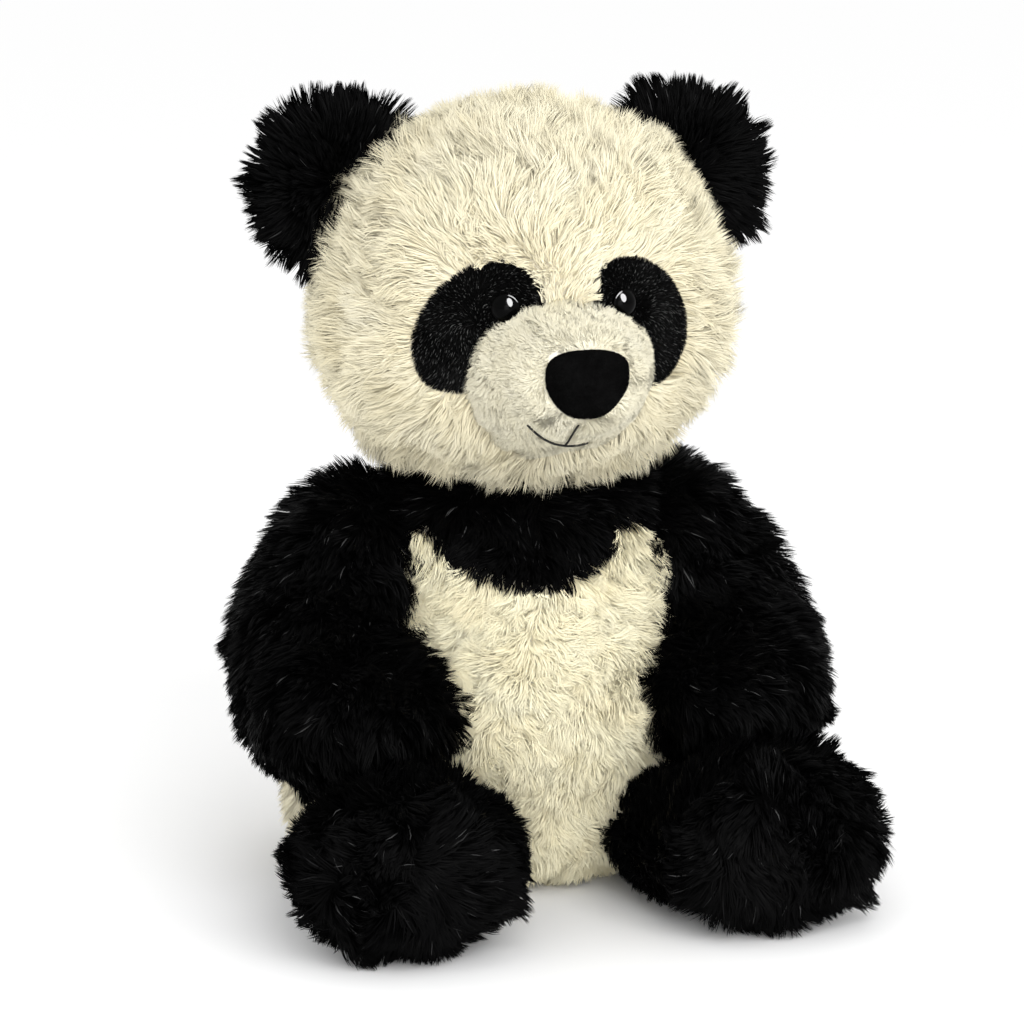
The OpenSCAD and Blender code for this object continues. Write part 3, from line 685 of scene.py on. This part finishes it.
    # each strand is lit partly as the skin under it, as dense pile is
    for attribute in ("custom_normal", "pile_normal"):
        me.attributes.new(name=attribute, type="FLOAT_VECTOR", domain="POINT").data.foreach_set(
            "vector", np.stack(normals, 1).ravel().astype(np.float32))
    ob = bpy.data.objects.new(name, me)
    bpy.context.scene.collection.objects.link(ob)
    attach(ob, body)
    return ob


# ---------------------------------------------------------------- head

head = head_surface()
muzzle = muzzle_surface()


def in_gusset(p):
    half = np.interp(p[:, 2], [MUZZLE_Z, 245], [9, 30])
    return (p[:, 1] < 0) & (np.abs(p[:, 0]) < half) & (p[:, 2] > MUZZLE_Z)


HEAD_PANELS = {
    "forehead_gusset": in_gusset,
    "cheek_left": lambda p: (p[:, 1] < 0) & (p[:, 0] >= 0) & ~in_gusset(p),
    "cheek_right": lambda p: (p[:, 1] < 0) & (p[:, 0] < 0) & ~in_gusset(p),
    "head_back": lambda p: p[:, 1] >= 0,
}


def on_patch(p):
    return (patch_share(p, 1) < 1) | (patch_share(p, -1) < 1)


def in_ear_root(p):
    q = np.abs(p) * [1, 0, 0] + p * [0, 1, 1]
    centre = ear_frame(1)(np.array([[0.0, 0.0, 2.0]]))[0]
    return np.linalg.norm((q - centre) / [15, 8, 15], axis=1) < 1


def head_open(p, n):
    """Where long pile grows on the head: off the patches, muzzle, ears and neck."""
    neck = (np.hypot(p[:, 0], p[:, 1] - NECK_C[1]) < 22) & (p[:, 2] < 190)
    return ~on_patch(p) & (muzzle_share(p) > 0.96) & ~in_ear_root(p) & ~neck


def head_flow(p, n):
    """Away from the bridge of the nose over the face, then down the back."""
    away = unit(p - np.array([0, -84, 220]))
    down = np.array([0, 0.25, -1.0])
    back = ease(p[:, 1], -5, 35)[:, None]
    low = ease(-p[:, 2], -215, -180)[:, None]
    way = away * (1 - 0.8 * back) + down * 0.9 * back
    side = np.stack([0.5 * np.sign(p[:, 0]), np.zeros(len(p)), np.full(len(p), -1.0)], 1)
    return way * (1 - 0.5 * low) + side * 0.6 * low


def head_short(p):
    """Shorter pile round the patches and the muzzle, longer on crown and cheeks."""
    near = np.minimum(patch_share(p, 1), patch_share(p, -1))
    muz = muzzle_share(p)
    crown = 0.12 * ease(p[:, 2], 250, 285)
    cheek = 0.12 * ease(np.abs(p[:, 0]), 35, 62)
    off_face = ease(near, 0.98, 1.55) * (0.35 + 0.65 * ease(muz, 0.95, 1.5))
    return (0.42 + 0.58 * off_face) * (1 + crown + cheek)


for i, (node, inside) in enumerate(HEAD_PANELS.items()):
    panel(f"{node}_cloth", head, lambda p, n, f=inside: f(p), "cream_cloth", "head",
          node)
    fur(f"{node}_pile", head, lambda p, n, f=inside: f(p) & head_open(p, n), "cream_pile",
        "head", "cream_pile", head_flow, 2.1, 15.5, 0.44, lean=(32, 58), wander=36, curl=42,
        clump=12, pull=0.62, soft=0.86, mottle=(0.12, 0.09), shorten=head_short, seed=100 + i)

panel("muzzle_cloth", muzzle, everywhere, "muzzle_cloth", "head",
      "muzzle_skin")


def smile_distance(p):
    x = np.clip(p[:, 0], SMILE_FROM, SMILE_TO)
    z = SMILE_LOW[1] + SMILE_CURVE * (x - SMILE_LOW[0]) ** 2
    bowl = np.hypot(p[:, 0] - x, p[:, 2] - z)
    lip = np.hypot(p[:, 0], np.maximum(0, p[:, 2] - 190) + np.maximum(0, 179.6 - p[:, 2]))
    return np.minimum(bowl, lip)


def nose_share(p):
    """Distance from the nose's middle as a share of its outline."""
    x, z = np.abs(p[:, 0]), p[:, 2] - NOSE_C[2]
    half = np.interp(z, [-13.7, -11, -4, 4, 9, 11.3], [3, 8.5, 13.5, 15.5, 14, 9])
    return np.maximum(x / half, np.where(z > 0, z / 11.3, -z / 13.7))


def muzzle_open(p, n):
    outside = ((p - HEAD_C) / np.array([67, 62, 63])) ** 2
    under_nose = (nose_share(p) < 0.9) & (p[:, 1] < -98)
    return (outside.sum(1) > 1) & ~under_nose


def muzzle_flow(p, n):
    away = p - (NOSE_C + np.array([0, -5, 4]))
    return unit(away) + np.array([0, 0, -0.45])


def muzzle_short(p):
    """Shorter pile along the smile and round the nose."""
    mouth = 0.25 + 0.75 * ease(smile_distance(p), 0.9, 3.4)
    return mouth * (0.5 + 0.5 * ease(nose_share(p), 0.95, 1.35))


fur("muzzle_pile", muzzle, muzzle_open, "muzzle_pile", "head", "muzzle_pile", muzzle_flow,
    5.6, 4.3, 0.52, lean=(26, 56), wander=55, curl=60, clump=8, pull=0.5, vary=0.25,
    levels=(0, 0.5, 1), roll=35, soft=0.86, mottle=(0.14, 0.10), seed=140,
    shorten=muzzle_short)


# ---------------------------------------------------------------- eye patches

head_tree = BVHTree.FromPolygons(head.p.tolist(), head.faces)


def patch_surface(side):
    """Thin domed oval pressed onto the head."""
    across, up, out = patch_axes(side)
    middle = mirrored(PATCH_C, side)
    c, s = turns(96)
    rings = []
    for k in np.linspace(0.02, 1.0, 30):
        ring = []
        for a, b in zip(c, s):
            start = middle + across * a * k * PATCH_HALF[0] + up * b * k * PATCH_HALF[1] + out * 40
            hit = head_tree.ray_cast(Vector(start), Vector(-out))
            ring.append(np.array(hit[0]) + np.array(hit[1]) * (1.3 * (1 - k ** 6) ** 0.5 + 0.1))
        rings.append(ring)
    rings = np.array(rings)
    faces = []
    n = len(c)
    for i in range(len(rings) - 1):
        faces += [(i * n + k, i * n + (k + 1) % n, (i + 1) * n + (k + 1) % n, (i + 1) * n + k)
                  for k in range(n)]
    faces.append(tuple(range(n))[::-1])
    surface = Surface(rings.reshape(-1, 3), faces)
    flip = (surface.n @ out).mean() < 0
    return Surface(surface.p, [f[::-1] for f in faces]) if flip else surface


def eye_middle(side):
    share = math.sqrt(1 - (EYE_X / HEAD_HALF[0]) ** 2)
    return np.array([side * EYE_X, HEAD_C[1] - (HEAD_HALF[1] + 1.6) * share, EYE_Z])


for name, side in SIDES.items():
    patch = patch_surface(side)
    panel(f"eye_patch_{name}_cloth", patch, everywhere, "black_cloth", "head",
          f"eye_patch_{name}", rim=1.2)
    eye = eye_middle(side)
    fur(f"eye_patch_{name}_pile", patch,
        lambda p, n: (muzzle_share(p) > 0.97) & (np.linalg.norm(p - eye, axis=1) > EYE_R - 0.4),
        "patch_pile", "head", "patch_pile",
        lambda p, n, s=side: unit(p - mirrored(PATCH_C, s)) + np.array([0, 0, -0.5]),
        9.0, 2.3, 0.30, lean=(18, 42), wander=30, clump=5, pull=0.35, levels=(0, 0.55, 1), roll=60,
        glint=0.10, seed=150 + side)


# ---------------------------------------------------------------- eyes, nose, mouth

def turned_form(profile, sides, place):
    """Surface of revolution: profile rows are radius and height along the axis."""
    c, s = turns(sides)
    rings = np.array([np.stack([r * c, r * s, np.full_like(c, h)], 1) for r, h in profile])
    form = loft(rings)
    return Surface(place(form.p), form.faces)


def face_place(middle, yaw):
    """Local z points out of the face, turned by yaw."""
    a = math.radians(yaw)
    out = np.array([math.sin(a), -math.cos(a), 0])
    right = np.array([math.cos(a), math.sin(a), 0])
    return lambda p: middle + p[:, :1] * right + p[:, 1:2] * np.array([0, 0, 1]) + p[:, 2:3] * out


def eye_profile():
    """Stem, flat back with a small rim, then the lens: a cap of a larger ball."""
    lens_r, rows = 6.4, [(1.2, -13.0), (1.9, -12.4), (1.9, -0.2), (EYE_R, 0.0), (EYE_R + 0.15, 0.5),
                         (EYE_R, 1.0), (EYE_R - 0.25, 1.15)]
    drop = math.sqrt(lens_r ** 2 - (EYE_R - 0.3) ** 2)
    for a in np.linspace(math.asin((EYE_R - 0.3) / lens_r), 0.03, 22):
        rows.append((lens_r * math.sin(a), 1.15 + lens_r * math.cos(a) - drop))
    return rows


for name, side in SIDES.items():
    place = face_place(eye_middle(side), side * EYE_YAW)
    form = turned_form(eye_profile(), 72, place)
    ob = mesh_object(f"eye_{name}_lens", form.p, form.faces, "eye_plastic", "head")
    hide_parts(f"eye_{name}")


def nose_surface():
    """Padded nose: wide flat top, sides that round in to the tip."""
    a = np.linspace(0, math.tau, 120, endpoint=False)
    c, s = np.cos(a), np.sin(a)
    rings = []
    edge = np.sin(np.radians(np.linspace(60, 90, 9)))
    for k in np.concatenate([np.linspace(0.05, 0.85, 16), edge]):
        half_w = 15.5 * np.sign(c) * np.abs(c) ** 0.80 * (1 - 0.12 * ease(-s, 0.0, 1.0))
        half_h = np.where(s > 0, 10.0 * np.abs(s) ** 0.62, -15.0 * np.abs(s) ** 0.95) + 1.3
        out = 6.3 * (1 - k ** 2.6) ** 0.5 * (1 + 0.10 * (half_h / 12.5) * k)
        rings.append(np.stack([half_w * k, half_h * k, np.broadcast_to(out, c.shape)], 1))
    return loft(np.array(rings[::-1]))


nose_form = nose_surface()
nose_place = face_place(NOSE_C, 0)
nose = Surface(nose_place(nose_form.p), nose_form.faces)
if (nose.n @ np.array([0, -1, 0])).mean() < 0:
    nose = Surface(nose.p, [f[::-1] for f in nose.faces])
ob = mesh_object("nose_pad", nose.p, nose.faces, "nose_cloth", "head")
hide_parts("nose")
fur("nose_flocking", nose, lambda p, n: n[:, 1] < 0.3, "nose_flock", "head", "nose_flock",
    lambda p, n: unit(p - NOSE_C), 16.0, 0.75, 0.16, lean=(10, 35), wander=20, clump=4, pull=0.2,
    levels=(0, 0.6, 1), roll=70, seed=170)

muzzle_tree = BVHTree.FromPolygons(muzzle.p.tolist(), muzzle.faces)


def on_muzzle(x, z, lift):
    """Point lift mm off the muzzle's underside, at x and z."""
    hit = muzzle_tree.ray_cast(Vector((x, -150, z)), Vector((0, 1, 0)))
    return np.array(hit[0]) + np.array(hit[1]) * lift


def thread(points, radius, sides=8, twist=0.22):
    """Twisted two-ply thread swept along points: returns points and faces."""
    path = np.array(points)
    steps = np.linspace(0, len(path) - 1, (len(path) - 1) * 6 + 1)
    fine = np.stack([np.interp(steps, np.arange(len(path)), path[:, i]) for i in range(3)], 1)
    way = unit(np.gradient(fine, axis=0))
    up = unit(np.cross(way, np.cross(np.array([0.0, -0.5, -0.85]), way)))
    across = np.cross(way, up)
    out, faces = [], []
    for i, q in enumerate(fine):
        spin = i * 0.9
        for k in range(sides):
            a = math.tau * k / sides
            r = radius * (1 + twist * math.cos(2 * (a - spin)))
            out.append(q + across[i] * r * math.cos(a) + up[i] * r * math.sin(a))
    for i in range(len(fine) - 1):
        for k in range(sides):
            m = (k + 1) % sides
            faces.append((i * sides + k, i * sides + m, (i + 1) * sides + m, (i + 1) * sides + k))
    faces.append(tuple(range(sides))[::-1])
    faces.append(tuple(len(out) - sides + k for k in range(sides)))
    return out, faces


def join_forms(forms):
    points, faces = [], []
    for p, f in forms:
        base = len(points)
        points += list(p)
        faces += [tuple(base + i for i in g) for g in f]
    return points, faces


smile = [on_muzzle(x, SMILE_LOW[1] + SMILE_CURVE * (x - SMILE_LOW[0]) ** 2, 1.9)
         for x in np.linspace(SMILE_FROM, SMILE_TO, 22)]
lip = [on_muzzle(0.0, z, 1.9) for z in np.linspace(190.5, SMILE_LOW[1] + 0.5, 9)]
points, faces = join_forms([thread(smile, 0.42), thread(lip, 0.38)])
ob = mesh_object("mouth_thread", points, faces, "thread", "head")
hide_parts("mouth_stitch")


# ---------------------------------------------------------------- ears

for name, side in SIDES.items():
    ear = ear_surface(side)
    centre = ear_frame(side)(np.array([[0.0, 0.0, EAR_RISE]]))[0]
    for part, sign in (("front", -1), ("back", 1)):
        panel(f"ear_{part}_{name}_cloth", ear, lambda p, n, s=sign: p[:, 1] * s >= -0.01,
              "black_cloth", f"ear_{name}", f"ear_{part}_{name}")
        fur(f"ear_{part}_{name}_pile", ear,
            lambda p, n, s=sign: (p[:, 1] * s >= 0) & (np.linalg.norm(
                (p - HEAD_C) / np.array([66, 61, 62]), axis=1) > 1),
            "black_pile", f"ear_{name}", "black_pile",
            lambda p, n, c=centre: p - c, 3.6, 13.0, 0.46, lean=(12, 40), wander=16, curl=8,
            clump=13, pull=0.84, vary=0.3, glint=0.012, roll=60, seed=200 + 10 * (side > 0) + sign)


# ---------------------------------------------------------------- body

body = body_surface()


def belly_distance(p):
    return np.where(p[:, 1] < BELLY_Y, polygon_distance(p[:, 0], p[:, 2], BELLY), 9)


def on_lower_back(p):
    return (belly_distance(p) >= 0) & (p[:, 2] <= WAIST_Z) & (p[:, 2] > BASE_Z)


BODY_PANELS = {
    "belly_panel": lambda p: (belly_distance(p) < 0) & (p[:, 2] > BASE_Z),
    "chest_yoke": lambda p: (belly_distance(p) >= 0) & (p[:, 1] < 0) & (p[:, 2] > WAIST_Z),
    "back_upper": lambda p: (p[:, 1] >= 0) & (p[:, 2] > WAIST_Z),
    "back_lower_left": lambda p: on_lower_back(p) & (p[:, 0] >= 0),
    "back_lower_right": lambda p: on_lower_back(p) & (p[:, 0] < 0),
    "base_panel": lambda p: p[:, 2] <= BASE_Z,
}


def body_open(p, n):
    """Where pile grows on the body: not inside a limb, nor under the neck."""
    neck = (p[:, 2] > 153) & (np.hypot(p[:, 0], p[:, 1] - NECK_C[1]) < 24)
    return ~inside_limb(p, ARM, -4) & ~inside_limb(p, LEG, -4) & ~neck


def belly_flow(p, n):
    sway = waves(p, 40, 61)[:, None] * np.array([1.0, 0, 0])
    return sway + np.array([0, 0, -1.0]) + 0.5 * unit(p - np.array([0, -50, 80]))


def body_flow(p, n):
    return np.stack([np.sign(p[:, 0]) * 0.35, np.zeros(len(p)), np.full(len(p), -1.0)], 1)


BODY_PILE = {
    "belly_panel": ("belly_cloth", "belly_pile", "belly_pile", belly_flow,
                    dict(per_mm2=2.9, length=13.0, width=0.44, lean=(34, 64), wander=42, curl=45,
                         clump=13, pull=0.6, soft=0.9, mottle=(0.12, 0.08))),
    "chest_yoke": ("black_cloth", "black_pile", "black_pile", body_flow,
                   dict(per_mm2=1.9, length=11.0, width=0.50, lean=(30, 58), wander=28, curl=20,
                        clump=8, pull=0.65, glint=0.02)),
    "back_upper": ("black_cloth", "black_pile", "black_pile", body_flow,
                   dict(per_mm2=1.6, length=12.0, width=0.50, lean=(32, 62), wander=24, curl=20,
                        clump=8, pull=0.65, glint=0.02)),
    "back_lower_left": ("cream_cloth", "cream_pile", "cream_pile", body_flow,
                        dict(per_mm2=1.7, length=12.5, width=0.50, lean=(32, 60), wander=28,
                             curl=26, clump=11, pull=0.6, soft=0.86, mottle=(0.12, 0.09))),
    "base_panel": ("cream_cloth", "cream_pile", "cream_pile", lambda p, n: p * [1, 1, 0],
                   dict(per_mm2=0.5, length=5.0, width=0.6, lean=(70, 85), wander=30, clump=6,
                        pull=0.4, levels=(0, 0.5, 1))),
}
BODY_PILE["back_lower_right"] = BODY_PILE["back_lower_left"]


def body_short(p):
    """Shorter pile along the closing seam, under the label and near the floor."""
    seam = np.hypot(p[:, 0], np.maximum(0, np.abs(p[:, 2] - 42) - 22)) / 5
    back = np.where(p[:, 1] > 40, 0.35 + 0.65 * ease(seam, 0.2, 1.2), 1)
    beside = np.maximum(np.abs(p[:, 0] + LABEL_W / 2) - LABEL_W / 2,
                        np.abs(p[:, 2] - LABEL_Z - LABEL_H / 2) - LABEL_H / 2)
    back = back * np.where(p[:, 1] > 40, 0.40 + 0.60 * ease(beside, 0, 5), 1)
    return back * (0.5 + 0.5 * ease(p[:, 2], 2, 16))


for i, (node, inside) in enumerate(BODY_PANELS.items()):
    cloth, pile, slot, flow, look = BODY_PILE[node]
    panel(f"{node}_cloth", body, lambda p, n, f=inside: f(p), cloth, "torso", node)
    fur(f"{node}_pile", body, lambda p, n, f=inside: f(p) & body_open(p, n), pile, "torso", slot,
        flow, seed=300 + i, shorten=body_short, **look)


body_tree = BVHTree.FromPolygons(body.p.tolist(), body.faces)


def label_sheet():
    """Blank satin label: one edge caught in the back seam, the rest lies over the pile."""
    across, up, thick = 27, 13, 0.35
    grid = []
    for v in np.linspace(0, 1, up):
        for u in np.linspace(0, 1, across):
            x, z = -0.8 - LABEL_W * u, LABEL_Z + LABEL_H * v - 1.2 * u
            hit = body_tree.ray_cast(Vector((x, 150, z)), Vector((0, -1, 0)))
            lift = 0.8 + 5.6 * ease(u, 0, 0.45) + 0.8 * u * math.sin(2.4 * v + 0.6) + 1.6 * u ** 3
            grid.append(np.array(hit[0]) + np.array([0, 1, 0]) * lift)
    n = up * across
    points = grid + [q + np.array([0, thick, 0]) for q in grid]
    faces = []
    for j in range(up - 1):
        for i in range(across - 1):
            a = j * across + i
            faces.append((a, a + 1, a + across + 1, a + across))
            faces.append((n + a, n + a + across, n + a + across + 1, n + a + 1))
    rim = (list(range(across)) + [across * (j + 1) - 1 for j in range(1, up)]
           + [n - 1 - i for i in range(1, across)] + [across * j for j in range(up - 2, 0, -1)])
    faces += [(b, a, n + a, n + b) for a, b in zip(rim, rim[1:] + rim[:1])]
    return points, faces


points, faces = label_sheet()
ob = mesh_object("label_sheet", points, faces, "satin", "torso")
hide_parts("care_label")


# ---------------------------------------------------------------- arms and legs

arm_left, leg_left = limb_surface(ARM, 21), limb_surface(LEG, 23)


def outside(p, ball):
    return np.linalg.norm((p - ball[0]) / ball[1], axis=1) > 1


def arm_flow(p, n):
    """Down the arm towards the paw, and a little outwards."""
    down = ease(-p[:, 2], -120, -80)[:, None]
    way = np.array([0, -0.15, -1.0]) * (1 - down) + np.array([0, -0.75, -0.75]) * down
    return way + 0.25 * np.sign(p[:, :1]) * np.array([1.0, 0, 0])


def leg_flow(p, n):
    return np.array([0, -1.0, 0.15]) + 0.35 * np.sign(p[:, :1]) * np.array([1.0, 0, 0])


def sole_flow(p, n):
    """Swirls across the sole, and a little outwards and down."""
    centre = SOLE_C * np.stack([np.sign(p[:, 0]), np.ones(len(p)), np.ones(len(p))], 1)
    swirl = np.stack([waves(p, 30, 71), np.zeros(len(p)), waves(p, 30, 72)], 1)
    return 0.5 * unit(p - centre) + swirl + np.array([0, -0.3, -0.4])


# Middles and half sizes of the parts of the body that hide the limbs' roots
ARMPIT, GROIN = ([0, -1, 130], [50, 46, 60]), ([0, 5, 50], [74, 58, 60])
LIMB_PILE = dict(width=0.52, curl=18, clump=11, pull=0.78, vary=0.25, glint=0.018)
for name, side in SIDES.items():
    arm = arm_left if side > 0 else arm_left.mirror()
    leg = leg_left if side > 0 else leg_left.mirror()
    arm_parts = {f"arm_outer_{name}": lambda p: np.abs(p[:, 0]) > ARM_SEAM_X,
                 f"arm_inner_{name}": lambda p: np.abs(p[:, 0]) <= ARM_SEAM_X}
    for i, (node, inside) in enumerate(arm_parts.items()):
        panel(f"{node}_cloth", arm, lambda p, n, f=inside: f(p), "black_cloth", f"arm_{name}",
              node)
        fur(f"{node}_pile", arm, lambda p, n, f=inside: f(p) & outside(p, ARMPIT),
            "black_pile", f"arm_{name}", "black_pile", arm_flow, 1.9, 12.0, lean=(30, 58),
            wander=26, seed=400 + 20 * (side > 0) + i, **LIMB_PILE)
    leg_parts = {
        f"leg_top_{name}": (
            lambda p: (p[:, 1] > SOLE_Y) & (p[:, 2] > LEG_SEAM_Z), leg_flow,
            dict(per_mm2=2.0, length=12.0, lean=(32, 60), wander=26)),
        f"leg_bottom_{name}": (
            lambda p: (p[:, 1] > SOLE_Y) & (p[:, 2] <= LEG_SEAM_Z), leg_flow,
            dict(per_mm2=1.4, length=9.0, lean=(40, 66), wander=26)),
        f"sole_{name}": (
            lambda p: p[:, 1] <= SOLE_Y, sole_flow,
            dict(per_mm2=2.4, length=12.5, lean=(24, 52), wander=30)),
    }
    for i, (node, (inside, flow, look)) in enumerate(leg_parts.items()):
        panel(f"{node}_cloth", leg, lambda p, n, f=inside: f(p), "black_cloth", f"leg_{name}",
              node)
        fur(f"{node}_pile", leg, lambda p, n, f=inside: f(p) & outside(p, GROIN),
            "black_pile", f"leg_{name}", "black_pile", flow, seed=500 + 20 * (side > 0) + i,
            shorten=lambda p: 0.35 + 0.65 * ease(p[:, 2], 1, 14), **look, **LIMB_PILE)


# ---------------------------------------------------------------- carried-over CAD nodes

SLOT_MATERIALS = {"black_pile": "black_cloth", "cream_pile": "cream_cloth",
                  "belly_pile": "belly_cloth", "muzzle_pile": "muzzle_cloth",
                  "patch_pile": "black_cloth", "nose_flock": "nose_cloth"}
for part in frame["record"]["subparts"]:
    node = frame["nodes"][part["node"]] if "node" in part else None
    if node is None:
        continue
    slot = part.get("material_slot", "stuffing")
    node.data.materials.clear()
    node.data.materials.append(MATERIALS[SLOT_MATERIALS.get(slot, slot)])


# ---------------------------------------------------------------- camera, floor and light

scene = bpy.context.scene
TARGET, DISTANCE, AZIMUTH, ELEVATION = Vector((0, 0, 0.1375)), 1.41, -15.0, 12.0
a, e = math.radians(AZIMUTH), math.radians(ELEVATION)
back = Vector((math.sin(a) * math.cos(e), -math.cos(a) * math.cos(e), math.sin(e)))
camera = bpy.data.objects.new("camera", bpy.data.cameras.new("camera"))
camera.data.sensor_width, camera.data.lens = 36, 127
camera.location = TARGET + back * DISTANCE
camera.rotation_euler = (-back).to_track_quat("-Z", "Y").to_euler()
scene.collection.objects.link(camera)
scene.camera = camera

FLOOR_R = 40
floor_mesh = bpy.data.meshes.new("floor")
c, s = turns(64)
floor_mesh.from_pydata([(FLOOR_R * x, FLOOR_R * y, 0) for x, y in zip(c, s)], [],
                       [tuple(range(len(c)))])
floor = bpy.data.objects.new("floor", floor_mesh)
scene.collection.objects.link(floor)
mat, nodes, links, shader = new_material("floor", Roughness=0.9, Specular_IOR_Level=0.0)
shader.inputs["Base Color"].default_value = (0.985, 0.985, 0.985, 1)
floor_mesh.materials.append(mat)

world = bpy.data.worlds.new("studio")
world.use_nodes = True
world.node_tree.nodes["Background"].inputs[0].default_value = (1, 1, 1, 1)
world.node_tree.nodes["Background"].inputs[1].default_value = 1.0
scene.world = world


def softbox(name, place, aim, size, power):
    light = bpy.data.lights.new(name, "AREA")
    light.shape, light.energy = "RECTANGLE", power
    light.size, light.size_y = size
    ob = bpy.data.objects.new(name, light)
    ob.location = place
    ob.rotation_euler = (Vector(aim) - Vector(place)).to_track_quat("-Z", "Y").to_euler()
    scene.collection.objects.link(ob)
    return ob


softbox("key", (0.15, -1.3, 0.95), (0, -0.05, 0.16), (1.1, 1.1), 11.5)
softbox("front", (-0.25, -1.4, 0.3), (0, 0, 0.12), (0.7, 0.7), 4.5)
glint = softbox("glint", (0.26, -1.0, 0.95), (0, -0.08, 0.23), (0.75, 1.3), 560)
glint.data.shape = "ELLIPSE"
lenses = bpy.data.collections.new("lenses")
for name in SIDES:
    lenses.objects.link(bpy.data.objects[f"eye_{name}_lens"])
glint.light_linking.receiver_collection = lenses
scene.view_settings.view_transform = "Standard"
